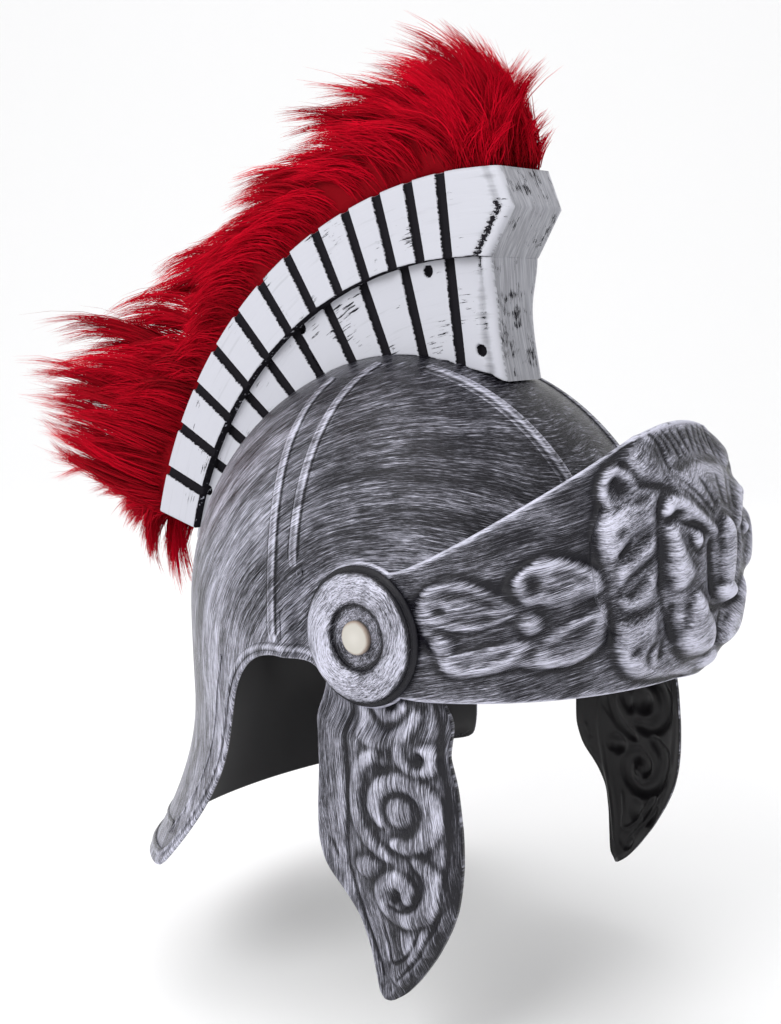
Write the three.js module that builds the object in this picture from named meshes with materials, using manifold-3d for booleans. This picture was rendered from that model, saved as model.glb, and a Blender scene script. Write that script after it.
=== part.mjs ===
// Roman legionary helmet: a costume helmet of thin moulded plastic with a skull and neck guard, a
// tilting visor with a lion mask, two hanging cheek guards, temple discs on rivets, and a tall crest
// holder that carries a plume.
// Millimetres, +Z up. The wearer faces -Y and +X is the wearer's left. The origin is the inside of
// the crown, where the helmet sits on the head.

import * as THREE from 'three';
import { mergeVertices } from 'three/addons/utils/BufferGeometryUtils.js';
import Module from 'manifold-3d';

const wasm = await Module();
wasm.setup();

// Skull: the dome is half an ellipsoid, carried on down as a wall that flares into the neck guard.
const skullWidth = 192;
const skullLength = 238;
const domeHeight = 117.7;
const skullWall = 2.5;
const wallTaper = 1.5;
const wallTaperDepth = 70;
const browHeight = -116;
const neckRimWidth = 262;
const neckRimLength = 250;
const neckRimHeight = -216.5;
const neckDroop = 0.19;
const flareDepth = 68;

// Ear arch: a rounded cut-out above each ear, with its rear edge running down to the neck corner.
const archCentreY = 4;
const archSpringHeight = -166;
const archHalfWidth = 36;
const archRise = 48;
const archPower = 2.2;
const neckCornerRadius = 10;
const archFootReach = 16.9;
const archFrontY = -24;
const tabHeight = -135;
const tabY = -36;
const browCornerY = -62;

// Raised ridges on the dome, mirrored left and right. Angles are degrees: polar is measured down
// from the crown, turn is measured from the side towards the rear.
const ridgeWidth = 4.4;
const ridgeRise = 1.2;
const ridges = [
  { polarTop: 26, polarRim: 91, turnTop: 26, turnRim: 3, bend: 1.9 },
  { polarTop: 17, polarRim: 75, turnTop: 9, turnRim: -4, bend: 1 },
];
const frontRidgeX = 25;
const ridgeSink = 0.6;
const frontRidgePolar = { top: 18, rim: 74 };

// Temple pivots. Everything on a temple is stacked outwards along X with a running clearance.
const hingeY = -41;
const hingeZ = -103.8;
const seatHalf = 88.4;
const stackGap = 0.5;
const seatRadius = 36;
const seatBlend = 10;
const seatRelease = 8.2;
const guardWall = 2;
const visorWall = 2.3;
const discRadius = 28;
const discThickness = 5.6;
const discRingRadius = 19.5;
const discRingWidth = 13;
const discDishDepth = 2.8;
const rivetShankRadius = 3.2;
const rivetHeadRadius = 6.8;
const rivetHeadThickness = 2.2;
const rivetTailRadius = 6;
const pinClearance = 0.3;

// Visor: an upright half ellipse around the brow, with round ends on the pivots.
const visorHalfWidth = 98;
const visorReach = 93;
const visorEndRadius = 28;
const visorBottomSide = -22;
const visorBottomFront = -18;
const visorTopFront = 81;
const visorTopStart = 12;
const visorTopPower = 1.35;

// Lion mask on the front of the visor and leaf ornament on its sides.
const maskRise = 18;
const maskHalfAngle = 34;
const maskCentreZ = 33;
const maskHalfHeight = 51;
const maskEdgeShare = 0.42;
const maskLumps = [
  { x: 0, y: -0.32, wide: 0.2, tall: 0.24, rise: 0.16 },
  { x: 0.26, y: 0.08, wide: 0.12, tall: 0.12, rise: -0.2 },
  { x: 0.2, y: 0.3, wide: 0.2, tall: 0.1, rise: 0.1 },
];
const visorCrownLean = 8;
const visorLeanAngle = 50;
const leafRise = 4;
const leafHeight = 44;
const leafAngleInner = 38;
const leafAngleOuter = 68;
const leafCentreZ = 10;

// Cheek guards: plates hanging from the pivots. Columns of the outline are shares: down of the
// guard's drop below the pivot, front and rear of its half width.
const guardDrop = 150;
const guardHalfWidth = 45;
const guardCrown = 98.8;
const guardCrownY = 12;
const guardCurve = 0.0026;
const guardTipInset = 6.4;
const scrollRise = 1.4;
const guardSwingRoom = 6;
const guardSwingGap = 0.3;
const guardReleaseDown = { from: 28, to: 44 };
const guardLead = 4;
const guardOutline = [
  { down: -0.12, front: -0.14, rear: 0.14 },
  { down: -0.08, front: -0.3, rear: 0.3 },
  { down: 0, front: -0.45, rear: 0.43 },
  { down: 0.08, front: -0.62, rear: 0.48 },
  { down: 0.165, front: -0.74, rear: 0.5 },
  { down: 0.21, front: -0.8, rear: 0.47 },
  { down: 0.27, front: -0.86, rear: 0.43 },
  { down: 0.36, front: -0.94, rear: 0.41 },
  { down: 0.48, front: -0.99, rear: 0.43 },
  { down: 0.57, front: -1, rear: 0.42 },
  { down: 0.64, front: -0.98, rear: 0.33 },
  { down: 0.7, front: -0.94, rear: 0.12 },
  { down: 0.76, front: -0.86, rear: -0.02 },
  { down: 0.84, front: -0.72, rear: -0.09 },
  { down: 0.92, front: -0.54, rear: -0.13 },
  { down: 0.97, front: -0.4, rear: -0.15 },
  { down: 1, front: -0.29, rear: -0.19 },
];
const guardScrolls = [
  { down: 0.3, across: -0.16, radius: 0.26 },
  { down: 0.52, across: -0.22, radius: 0.4 },
  { down: 0.74, across: -0.42, radius: 0.34 },
];

// Crest holder: two tiers of a curved box that rides on the dome, open along its top for the plume.
const crestCentre = { y: -48.8, z: -133.6 };
const crestRadius = 213;
const crestTierCentre = { y: -36, z: -131.8 };
const crestTierRadius = 175;
const crestUpperHalf = 20;
const crestLowerHalf = 15;
const crestWall = 2;
const crestSeat = 0.3;
const channelDepth = 5;
const deckThickness = 2;
const crestFrontAngle = 90.5;
const crestRearAngle = 13.5;
const tierFrontAngle = 93.4;
const tierRearAngle = 11.8;
const beakReach = 7;
const beakDrop = 16.5;
const crestFrontFoot = { y: -52, z: -6.3 };
const frontHollow = 4.5;
const crestRearFoot = { y: 105, z: -102.5 };
const slotWidth = 4.6;
const slotDepth = 1.2;
const slotInset = 3.5;
const upperSlots = { count: 12, first: 82.5, step: 4.6, stepGrowth: 0.1 };
const lowerSlots = { count: 9, first: 81.6, step: 8.1, stepGrowth: -0.12 };
const pinHoleRadius = 2.6;
const pinHoles = [
  { angle: 77.7, radius: 175 },
  { angle: 86.3, radius: 138.5 },
  { angle: 52.5, radius: 183 },
  { angle: 19.8, radius: 187 },
];

// Plume: a backing strip in the channel with a thick pile and longer locks fused to it. The columns
// are shares: at along the strip from front to rear, height and half of the pile height and crest
// half width, length of the pile height. Lean is degrees towards the rear.
const pileHeight = 60;
const stripThickness = 3;
const stripClearance = 0.3;
const lockRootRise = 8;
const pile = [
  { at: 0.0, height: 0.72, half: 0.8, lean: -8 },
  { at: 0.07, height: 0.96, half: 1.05, lean: -3 },
  { at: 0.15, height: 1.04, half: 1.2, lean: 1 },
  { at: 0.22, height: 0.92, half: 1.15, lean: 3 },
  { at: 0.3, height: 0.86, half: 1.1, lean: 5 },
  { at: 0.37, height: 0.66, half: 1.05, lean: 8 },
  { at: 0.45, height: 0.8, half: 1.1, lean: 10 },
  { at: 0.55, height: 0.82, half: 1.1, lean: 12 },
  { at: 0.65, height: 0.8, half: 1.1, lean: 12 },
  { at: 0.74, height: 0.72, half: 1.1, lean: 10 },
  { at: 0.82, height: 0.8, half: 1.1, lean: 8 },
  { at: 0.9, height: 1.3, half: 1.15, lean: 2 },
  { at: 0.96, height: 1.5, half: 1.1, lean: 4 },
  { at: 1.0, height: 1.15, half: 0.95, lean: 10 },
];
const locks = [
  { at: 0.0, lean: -32, length: 0.95, thick: 0.18, side: 0 },
  { at: 0.04, lean: -8, length: 1.05, thick: 0.2, side: 4 },
  { at: 0.11, lean: 2, length: 1.25, thick: 0.2, side: -5 },
  { at: 0.18, lean: 4, length: 1.25, thick: 0.2, side: 4 },
  { at: 0.31, lean: 8, length: 1.2, thick: 0.17, side: 3 },
  { at: 0.34, lean: 18, length: 1.12, thick: 0.16, side: -4 },
  { at: 0.46, lean: 12, length: 1, thick: 0.2, side: 6 },
  { at: 0.55, lean: 12, length: 1, thick: 0.2, side: -6 },
  { at: 0.63, lean: 10, length: 1.12, thick: 0.19, side: 5 },
  { at: 0.68, lean: 14, length: 1.36, thick: 0.18, side: -5 },
  { at: 0.74, lean: 17, length: 1.6, thick: 0.18, side: 5 },
  { at: 0.8, lean: 14, length: 1.5, thick: 0.18, side: -6 },
  { at: 0.88, lean: -1, length: 2.1, thick: 0.22, side: 2 },
  { at: 0.93, lean: 4, length: 2.6, thick: 0.24, side: -3 },
  { at: 0.96, lean: 10, length: 2.35, thick: 0.22, side: 4 },
  { at: 0.98, lean: 12, length: 1.9, thick: 0.2, side: -4 },
  { at: 0.995, lean: 22, length: 1.35, thick: 0.18, side: 0 },
  { at: 1.0, lean: 55, length: 1, thick: 0.15, side: 0 },
  { at: 1.0, lean: 84, length: 0.95, thick: 0.12, side: 0 },
];

// Mesh steps along each surface.
const steps = { skullRows: 10, visorRows: 10, guardColumns: 7, ridge: 6, arc: 14, round: 20, pin: 10 };

const radians = THREE.MathUtils.degToRad;
const toDegrees = THREE.MathUtils.radToDeg;
const clamp = THREE.MathUtils.clamp;
const mix = THREE.MathUtils.lerp;
const vec = (x, y, z) => new THREE.Vector3(x, y, z);

function ease(value, from, to) {
  const t = clamp((value - from) / (to - from), 0, 1);
  return t * t * (3 - 2 * t);
}

// Smaller of two values, rounded over where they meet.
function softMin(a, b, width) {
  const t = clamp(0.5 + (b - a) / (2 * width), 0, 1);
  return mix(b, a, t) - width * t * (1 - t);
}

// Closed geometry from points and triangles, with its faces turned outwards.
function closedGeometry(points, triangles) {
  const loose = new THREE.BufferGeometry();
  const flat = triangles.flatMap((triangle) => triangle.flatMap((i) => points[i].toArray()));
  loose.setAttribute('position', new THREE.Float32BufferAttribute(flat, 3));
  return tidyGeometry(loose);
}

function tidyGeometry(source) {
  const bare = source.clone();
  bare.deleteAttribute('normal');
  bare.deleteAttribute('uv');
  const merged = mergeVertices(bare, 1e-4);
  const index = merged.index.array;
  const kept = [];
  for (let i = 0; i < index.length; i += 3) {
    const [a, b, c] = [index[i], index[i + 1], index[i + 2]];
    if (a !== b && b !== c && c !== a) kept.push(a, b, c);
  }
  const place = merged.attributes.position;
  const at = (i) => vec(place.getX(i), place.getY(i), place.getZ(i));
  let volume = 0;
  for (let i = 0; i < kept.length; i += 3) {
    volume += at(kept[i]).dot(at(kept[i + 1]).cross(at(kept[i + 2])));
  }
  if (volume < 0) kept.reverse();
  merged.setIndex(kept);
  return merged;
}

function toSolid(geometry) {
  const tidy = tidyGeometry(geometry);
  const mesh = new wasm.Mesh({
    numProp: 3,
    vertProperties: new Float32Array(tidy.attributes.position.array),
    triVerts: new Uint32Array(tidy.index.array),
  });
  return new wasm.Manifold(mesh);
}

function toGeometry(solid) {
  const mesh = solid.getMesh();
  const geometry = new THREE.BufferGeometry();
  geometry.setAttribute('position', new THREE.Float32BufferAttribute(mesh.vertProperties, 3));
  geometry.setIndex(new THREE.Uint32BufferAttribute(mesh.triVerts, 1));
  geometry.computeVertexNormals();
  return geometry;
}

const joined = (solids) => solids.reduce((whole, solid) => whole.add(solid));

// A plate between an outer and an inner grid of points. A looped grid closes round its columns and
// its first row is a single point, so only the last row has an edge.
function plate(outer, inner, looped = false) {
  const columns = outer.length;
  const rows = outer[0].length;
  const points = [...outer.flat(), ...inner.flat()];
  const id = (side, i, j) => side * columns * rows + (i % columns) * rows + j;
  const triangles = [];
  const quad = (a, b, c, d) => triangles.push([a, b, c], [a, c, d]);
  const last = looped ? columns : columns - 1;
  for (let i = 0; i < last; i += 1) {
    for (let j = 0; j < rows - 1; j += 1) {
      quad(id(0, i, j), id(0, i, j + 1), id(0, i + 1, j + 1), id(0, i + 1, j));
      quad(id(1, i, j), id(1, i + 1, j), id(1, i + 1, j + 1), id(1, i, j + 1));
    }
    quad(id(0, i, rows - 1), id(1, i, rows - 1), id(1, i + 1, rows - 1), id(0, i + 1, rows - 1));
    if (!looped) quad(id(0, i, 0), id(0, i + 1, 0), id(1, i + 1, 0), id(1, i, 0));
  }
  if (!looped) {
    for (let j = 0; j < rows - 1; j += 1) {
      quad(id(0, 0, j), id(1, 0, j), id(1, 0, j + 1), id(0, 0, j + 1));
      const end = columns - 1;
      quad(id(0, end, j), id(0, end, j + 1), id(1, end, j + 1), id(1, end, j));
    }
  }
  return toSolid(closedGeometry(points, triangles));
}

// A bar of a section drawn in the YZ plane, centred on X.
function barAcross(shape, halfWidth) {
  const options = { depth: 2 * halfWidth, bevelEnabled: false, curveSegments: steps.arc };
  const geometry = new THREE.ExtrudeGeometry(shape, options);
  geometry.translate(0, 0, -halfWidth);
  geometry.applyMatrix4(new THREE.Matrix4().makeBasis(vec(0, 1, 0), vec(0, 0, 1), vec(1, 0, 0)));
  return toSolid(geometry);
}

// A body turned about the pivot axis. The profile holds [radius, distance along X] pairs.
function turnedOnPivot(profile, segments, side) {
  const outline = profile.map(([radius, along]) => new THREE.Vector2(radius, along));
  const geometry = new THREE.LatheGeometry(outline, segments);
  geometry.rotateZ(-Math.PI / 2);
  if (side < 0) geometry.rotateY(Math.PI);
  geometry.translate(0, hingeY, hingeZ);
  return toSolid(geometry);
}

const pinBore = (side) => {
  const radius = rivetShankRadius + pinClearance;
  const near = seatHalf - 3 * skullWall;
  const far = seatHalf + 40;
  return turnedOnPivot([[0, near], [radius, near], [radius, far], [0, far]], steps.pin, side);
};

// Places on a temple stack, outwards from the skull's seat.
const guardInner = seatHalf + stackGap;
const guardOuter = guardInner + guardWall;
const visorInnerFlat = guardOuter + stackGap;
const visorOuterFlat = visorInnerFlat + visorWall;
const discBack = visorOuterFlat + stackGap;
const discFront = discBack + discThickness;

// Skull surface at a turn (degrees from the side towards the rear) and a depth: polar degrees down
// to 90, and beyond 90 a millimetre of wall for each extra unit. Inset moves it inwards.
function skullPoint(side, turn, depth, inset) {
  const centreZ = skullWall - domeHeight;
  const angle = radians(turn);
  const polar = radians(Math.min(depth, 90));
  const below = Math.max(depth - 90, 0);
  const taper = wallTaper * ease(below, 0, wallTaperDepth);
  const rimZ = neckRim(turn).z;
  const flareStart = rimZ + flareDepth;
  let z = centreZ + (domeHeight - inset) * Math.cos(polar) - below;
  const flare = clamp((flareStart - z) / flareDepth, 0, 1) ** 2.1;
  const halfWidth = mix(skullWidth / 2 - taper, neckRimWidth / 2, flare) - inset;
  const halfLength = mix(skullLength / 2 - taper, neckRimLength / 2, flare) - inset;
  const y = halfLength * Math.sin(polar) * Math.sin(angle);
  const across = halfWidth * Math.sin(polar) * Math.cos(angle);
  const reach = Math.hypot(y - hingeY, z - hingeZ);
  const seat = seatHalf - inset + seatRelease * ease(reach, seatRadius, seatRadius + seatBlend);
  const x = reach < seatRadius + seatBlend ? Math.min(across, seat) : across;
  return vec(side * x, y, z);
}

function neckRim(turn) {
  const y = (neckRimLength / 2) * Math.sin(radians(turn));
  const cornerY = archCentreY + archHalfWidth + archFootReach;
  return { y, z: neckRimHeight - neckDroop * (y - cornerY) };
}

// Height of the ear arch's rear edge as a place on Y, from the spring of the arch to the corner.
function archRearEdge(share) {
  const z = mix(archSpringHeight, neckRimHeight, share);
  return { y: archCentreY + archHalfWidth + archFootReach * share ** 2, z };
}

// The rim from the middle of the brow round one side to the middle of the neck guard.
function rimPlaces() {
  const places = [];
  for (let i = 0; i < 5; i += 1) {
    const turn = mix(-90, -35, i / 5);
    places.push({ y: (skullLength / 2) * Math.sin(radians(turn)), z: browHeight });
  }
  places.push({ y: browCornerY, z: browHeight - 1 });
  places.push({ y: (browCornerY + tabY) / 2, z: (browHeight + tabHeight) / 2 - 3 });
  places.push({ y: tabY, z: tabHeight });
  places.push({ y: (tabY + archFrontY) / 2, z: tabHeight - 1 });
  const arch = (angle) => {
    const [c, s] = [Math.cos(angle), Math.sin(angle)];
    const y = archCentreY - Math.sign(c) * archHalfWidth * Math.abs(c) ** (2 / archPower);
    return { y, z: archSpringHeight + archRise * Math.abs(s) ** (2 / archPower) };
  };
  for (let i = 0; i <= 9; i += 1) {
    const place = arch(mix(0.25 * Math.PI, Math.PI, i / 9));
    if (place.y >= archFrontY) places.push(place);
  }
  for (let i = 1; i <= 3; i += 1) places.push(archRearEdge(i / 4));
  const corner = archRearEdge(1);
  places.push(archRearEdge(1 - neckCornerRadius / (archSpringHeight - neckRimHeight)));
  places.push({ y: corner.y + 0.2 * neckCornerRadius, z: corner.z + 0.25 * neckCornerRadius });
  const rimStart = toDegrees(Math.asin((corner.y + neckCornerRadius) / (neckRimLength / 2)));
  for (let i = 0; i <= 4; i += 1) places.push(neckRim(mix(rimStart, 90, i / 4)));
  return places;
}

// Turn and depth of a place on the skull given by its Y and Z.
function skullPlace({ y, z }) {
  const centreZ = skullWall - domeHeight;
  const polar = toDegrees(Math.acos(clamp((z - centreZ) / domeHeight, -1, 1)));
  const depth = z < centreZ ? 90 + centreZ - z : polar;
  let turn = toDegrees(Math.asin(clamp(y / (skullLength / 2), -1, 1)));
  for (let i = 0; i < 8; i += 1) {
    const found = skullPoint(1, turn, depth, 0).y;
    const reach = Math.abs(found / Math.sin(radians(turn || 1e-6))) || skullLength / 2;
    turn = toDegrees(Math.asin(clamp(y / reach, -1, 1)));
  }
  return { turn, depth };
}

// Columns of points down the skull from the crown to the rim, all the way round.
function skullGrid(inset) {
  const places = rimPlaces().map(skullPlace);
  const columns = [
    ...places.map((place) => ({ side: -1, ...place })),
    ...places.slice(1, -1).reverse().map((place) => ({ side: 1, ...place })),
  ];
  return columns.map(({ side, turn, depth }) => {
    const rows = [];
    for (let j = 0; j <= steps.skullRows; j += 1) {
      rows.push(skullPoint(side, turn, depth * (j / steps.skullRows), inset));
    }
    return rows;
  });
}

// A raised ridge with sloping sides, sunk a little into the wall.
function ridgeOnSkull(side, path) {
  const bands = [-0.5, 0, 0.5];
  const layer = (offsets) => {
    const columns = [];
    for (let i = 0; i <= steps.ridge; i += 1) {
      const share = i / steps.ridge;
      const { turn, depth } = path(share);
      const before = path(Math.max(share - 0.01, 0));
      const after = path(Math.min(share + 0.01, 1));
      const here = skullPoint(side, turn, depth, 0);
      const heading = skullPoint(side, after.turn, after.depth, 0);
      heading.sub(skullPoint(side, before.turn, before.depth, 0));
      const outward = vec(here.x, here.y, here.z + domeHeight - skullWall).normalize();
      const across = heading.cross(outward).normalize();
      columns.push(bands.map((band, k) => here.clone()
        .addScaledVector(across, band * ridgeWidth)
        .addScaledVector(outward, offsets[k])));
    }
    return columns;
  };
  const sunk = -ridgeSink * skullWall;
  return plate(layer([-0.3, ridgeRise, -0.3]), layer([sunk, sunk, sunk]));
}

function ridgePaths() {
  const side = ridges.map((row) => (share) => {
    const rise = (1 - share) ** row.bend;
    return { turn: mix(row.turnRim, row.turnTop, rise), depth: mix(row.polarTop, row.polarRim, share) };
  });
  const front = (share) => {
    const depth = mix(frontRidgePolar.top, frontRidgePolar.rim, share);
    const reach = (skullWidth / 2) * Math.sin(radians(depth));
    const turn = -toDegrees(Math.acos(clamp(frontRidgeX / reach, -1, 1)));
    return { turn, depth };
  };
  return [...side, front];
}

function makeSkull() {
  let skull = plate(skullGrid(0), skullGrid(skullWall), true);
  for (const side of [-1, 1]) {
    for (const path of ridgePaths()) skull = skull.add(ridgeOnSkull(side, path));
    skull = skull.subtract(pinBore(side));
  }
  return toGeometry(skull);
}

// Solid that fills the skull and stands a seat clearance proud of it, for fitting the crest holder.
function skullEnvelope() {
  const grid = skullGrid(-crestSeat);
  const middle = vec(0, 0, skullWall - domeHeight);
  return plate(grid, grid.map((column) => column.map(() => middle)), true);
}

// Visor plan: half width of the visor's outer face at a distance ahead of the pivots.
function visorHalf(ahead, inset) {
  const share = clamp(ahead / (visorReach - inset), -1, 1);
  const round = (visorHalfWidth - inset) * Math.sqrt(Math.max(1 - share * share, 0));
  return ahead > 0 ? softMin(visorOuterFlat - inset, round, 1.2) : visorOuterFlat - inset;
}

function visorTop(ahead) {
  const start = Math.sqrt(visorEndRadius ** 2 - visorTopStart ** 2);
  if (ahead < visorTopStart) return Math.sqrt(Math.max(visorEndRadius ** 2 - ahead ** 2, 0));
  const share = (ahead - visorTopStart) / (visorReach - visorTopStart);
  return start + (visorTopFront - start) * share ** visorTopPower;
}

function visorBottom(ahead) {
  const round = -Math.sqrt(Math.max(visorEndRadius ** 2 - ahead ** 2, 0));
  const straight = mix(visorBottomSide, visorBottomFront, clamp(ahead / visorReach, 0, 1));
  return ahead < Math.sqrt(visorEndRadius ** 2 - visorBottomSide ** 2) ? round : straight;
}

// Broad swell of the lion mask at a plan angle from the front and a height above the pivots.
function maskSwell(angle, height) {
  const across = angle / maskHalfAngle;
  const up = (height - maskCentreZ) / maskHalfHeight;
  const inside = Math.max(1 - across ** 2 - up ** 2, 0);
  return maskEdgeShare * inside ** 0.4 + (1 - maskEdgeShare) * inside ** 1.3;
}

// How far the top of the visor leans back behind the half ellipse, round the front.
function crownLean(angle, height) {
  const upwards = ease(height, 0.45 * visorTopFront, 1.1 * visorTopFront);
  return visorCrownLean * upwards * ease(visorLeanAngle - Math.abs(angle), 0, visorLeanAngle);
}

// Lion mask relief: mane locks round the edge, brow, eye hollows, muzzle and jowls.
function maskRelief(angle, height) {
  const swell = maskSwell(angle, height);
  if (swell === 0) return 0;
  const across = angle / maskHalfAngle;
  const up = (height - maskCentreZ) / maskHalfHeight;
  const ring = Math.hypot(across, up);
  const turn = Math.atan2(up, across);
  const mane = 0.16 * Math.cos(11 * turn) * ease(ring, 0.5, 0.75);
  const lump = ({ x, y, wide, tall, rise }) => {
    const away = ((Math.abs(across) - x) / wide) ** 2 + ((up - y) / tall) ** 2;
    return rise * Math.exp(-away);
  };
  const face = maskLumps.reduce((sum, row) => sum + lump(row), 0);
  return maskRise * (0.88 * swell + swell * mane + face);
}

// Leaf relief between the mask and the pivots: two pairs of leaves that spread from a bud.
function leafRelief(angle, height) {
  const middle = (leafAngleInner + leafAngleOuter) / 2;
  const across = (2 * (Math.abs(angle) - middle)) / (leafAngleOuter - leafAngleInner);
  const up = (2 * (height - leafCentreZ)) / leafHeight;
  const reach = Math.abs(across);
  if (reach >= 1 || Math.abs(up) >= 1) return 0;
  const spread = 0.42 * Math.sin(Math.PI * Math.min(reach * 1.1, 1));
  const leaf = Math.max(1 - ((Math.abs(up) - spread) / (0.12 + 0.5 * Math.sin(Math.PI * reach))) ** 2, 0);
  const bud = Math.max(1 - (across ** 2 + (0.8 * up) ** 2) / 0.04, 0);
  return leafRise * Math.max(Math.sqrt(leaf) * ease(1 - reach, 0, 0.2), Math.sqrt(bud));
}

function makeVisor() {
  const angles = [];
  for (const over of [20, 18, 14, 8, 0]) angles.push(-90 - over);
  for (let i = 1; i <= 9; i += 1) angles.push(-90 + (52 / 9) * i);
  for (let i = 1; i <= 10; i += 1) angles.push(-38 + 3.8 * i);
  const all = [...angles, ...angles.slice(0, -1).reverse().map((angle) => -angle)];
  const layer = (inner) => all.map((angle) => {
    const over = Math.abs(angle) - 90;
    const ahead = over > 0 ? (-over * visorEndRadius) / 20 : visorReach * Math.cos(radians(angle));
    const inset = inner ? visorWall : 0;
    const behind = over > 0 ? ahead : ahead * (1 - inset / visorReach);
    const half = Math.abs(angle) < 1 ? 0 : visorHalf(behind, inset);
    const x = Math.sign(angle) * half;
    const rows = [];
    for (let j = 0; j <= steps.visorRows; j += 1) {
      const height = mix(visorBottom(ahead), visorTop(ahead), j / steps.visorRows);
      const broad = 0.8 * maskRise * maskSwell(angle, height);
      const lean = crownLean(angle, height);
      const relief = inner ? broad : Math.max(maskRelief(angle, height), broad) + leafRelief(angle, height);
      const outward = vec(Math.sin(radians(angle)), -Math.cos(radians(angle)), 0);
      rows.push(vec(x, hingeY - behind, hingeZ + height).addScaledVector(outward, relief - lean));
    }
    return rows;
  });
  let visor = plate(layer(false), layer(true));
  for (const side of [-1, 1]) visor = visor.subtract(pinBore(side));
  return toGeometry(visor);
}

// Outer face of a cheek guard: a flat tongue on the pivot, then a crowned plate. Near its top it
// stays inside the visor's wall.
function guardFace(back, down) {
  const reach = Math.hypot(back, down);
  const tip = guardTipInset * ease(down, 0.6 * guardDrop, guardDrop);
  const crowned = guardCrown - guardCurve * (back - guardCrownY) ** 2 - tip;
  const flareStart = seatRadius - guardLead;
  const open = mix(guardOuter, crowned, ease(reach, flareStart, flareStart + seatBlend));
  const under = visorHalf(Math.max(guardSwingRoom - back, 0), visorWall) - stackGap - guardSwingGap;
  const limited = Math.min(open, Math.max(under, 0));
  return back > 0 ? open : mix(limited, open, ease(down, guardReleaseDown.from, guardReleaseDown.to));
}

// Scroll relief of a cheek guard: rolled rings, kept away from the pivot and the edges.
function scrollRelief(across, share) {
  let rise = 0;
  for (const scroll of guardScrolls) {
    const dx = across - scroll.across * guardHalfWidth;
    const dz = (share - scroll.down) * guardDrop;
    const ring = Math.hypot(dx, dz) / (scroll.radius * guardHalfWidth);
    const rolled = 1 - ((ring - 0.75) / 0.3) ** 2;
    const boss = 1 - (ring / 0.28) ** 2;
    rise = Math.max(rise, rolled, boss);
  }
  return scrollRise * rise * ease(share, 0.2, 0.28);
}

function makeCheekGuard(side) {
  const layer = (inner) => {
    const columns = [];
    for (let i = 0; i <= steps.guardColumns; i += 1) {
      const across = i / steps.guardColumns;
      columns.push(guardOutline.map((row) => {
        const down = row.down * guardDrop;
        const back = mix(row.front, row.rear, across) * guardHalfWidth;
        const edge = Math.sin(Math.PI * across);
        const relief = inner ? 0 : scrollRelief(back, row.down) * ease(edge, 0.1, 0.5);
        const x = guardFace(back, down) - (inner ? guardWall : 0) + relief;
        return vec(side * x, hingeY + back, hingeZ - down);
      }));
    }
    return columns;
  };
  return toGeometry(plate(layer(false), layer(true)).subtract(pinBore(side)));
}

// A washer with a rolled ring face round a shallow dish.
function makeTempleDisc(side) {
  const bore = rivetShankRadius + pinClearance;
  const dish = discFront - discDishDepth;
  const ring = [1, 0.75, 0.5, 0.25, 0.05].map((share) => [
    discRingRadius - (discRingWidth / 2) * Math.cos(Math.PI * share),
    dish + discDishDepth * Math.sin(Math.PI * share),
  ]);
  const profile = [
    [bore, discBack],
    [discRadius, discBack],
    [discRadius, dish - 1],
    ...ring,
    [bore, dish],
    [bore, discBack],
  ];
  return toGeometry(turnedOnPivot(profile, steps.round, side));
}

function makeRivet(side) {
  const tailFrontY = hingeY - rivetTailRadius;
  const share = tailFrontY / (skullLength / 2 - skullWall);
  const tailOuter = (skullWidth / 2 - skullWall) * Math.sqrt(1 - share ** 2) - skullWall;
  const tailInner = tailOuter - rivetHeadThickness;
  const headInner = discFront - discDishDepth + pinClearance;
  const headOuter = headInner + rivetHeadThickness;
  const profile = [
    [0, tailInner],
    [rivetTailRadius, tailInner],
    [rivetTailRadius, tailOuter],
    [rivetShankRadius, tailOuter],
    [rivetShankRadius, headInner],
    [rivetHeadRadius, headInner],
    [rivetHeadRadius, headOuter - 0.6],
    [0.85 * rivetHeadRadius, headOuter],
    [0, headOuter],
  ];
  return toGeometry(turnedOnPivot(profile, steps.pin, side));
}

const onCircle = (centre, radius, angle) => new THREE.Vector2(
  centre.y + radius * Math.cos(radians(angle)),
  centre.z + radius * Math.sin(radians(angle)),
);

// Points along an arc in the YZ plane.
function arcPoints(centre, radius, from, to) {
  const points = [];
  for (let i = 0; i <= steps.arc; i += 1) points.push(onCircle(centre, radius, mix(from, to, i / steps.arc)));
  return points;
}

const frontTop = onCircle(crestCentre, crestRadius, crestFrontAngle);
const beak = new THREE.Vector2(frontTop.x - beakReach, frontTop.y - beakDrop);

function upperTier(inset) {
  const front = crestFrontAngle - toDegrees(inset / crestRadius);
  const rear = crestRearAngle + toDegrees(inset / crestRadius);
  const tierFront = tierFrontAngle - toDegrees(inset / crestTierRadius);
  const tierRear = tierRearAngle + toDegrees(inset / crestTierRadius);
  const top = crestRadius - (inset > 0 ? channelDepth + deckThickness : 0);
  const points = [
    ...arcPoints(crestCentre, top, front, rear),
    ...(inset > 0 ? [] : [onCircle(crestCentre, crestRadius - 6, crestRearAngle - 1)]),
    ...arcPoints(crestTierCentre, crestTierRadius + inset, tierRear, tierFront),
    ...(inset > 0 ? [] : [beak]),
  ];
  return new THREE.Shape(points);
}

function lowerTier(inset) {
  const shift = toDegrees(inset / crestTierRadius);
  const overlap = 1.5 + (inset > 0 ? 8 : 0);
  const front = tierFrontAngle - shift - 0.4;
  const upper = arcPoints(crestTierCentre, crestTierRadius + overlap, front, tierRearAngle + shift);
  const foot = new THREE.Vector2(crestFrontFoot.y + inset, crestFrontFoot.z);
  const points = [
    ...upper,
    new THREE.Vector2(crestRearFoot.y, crestRearFoot.z + inset),
    new THREE.Vector2(0.4 * crestRearFoot.y, crestRearFoot.z),
    new THREE.Vector2(foot.x, crestRearFoot.z / 2),
    foot,
    new THREE.Vector2(foot.x + frontHollow, foot.y + 24),
  ];
  return new THREE.Shape(points);
}

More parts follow.
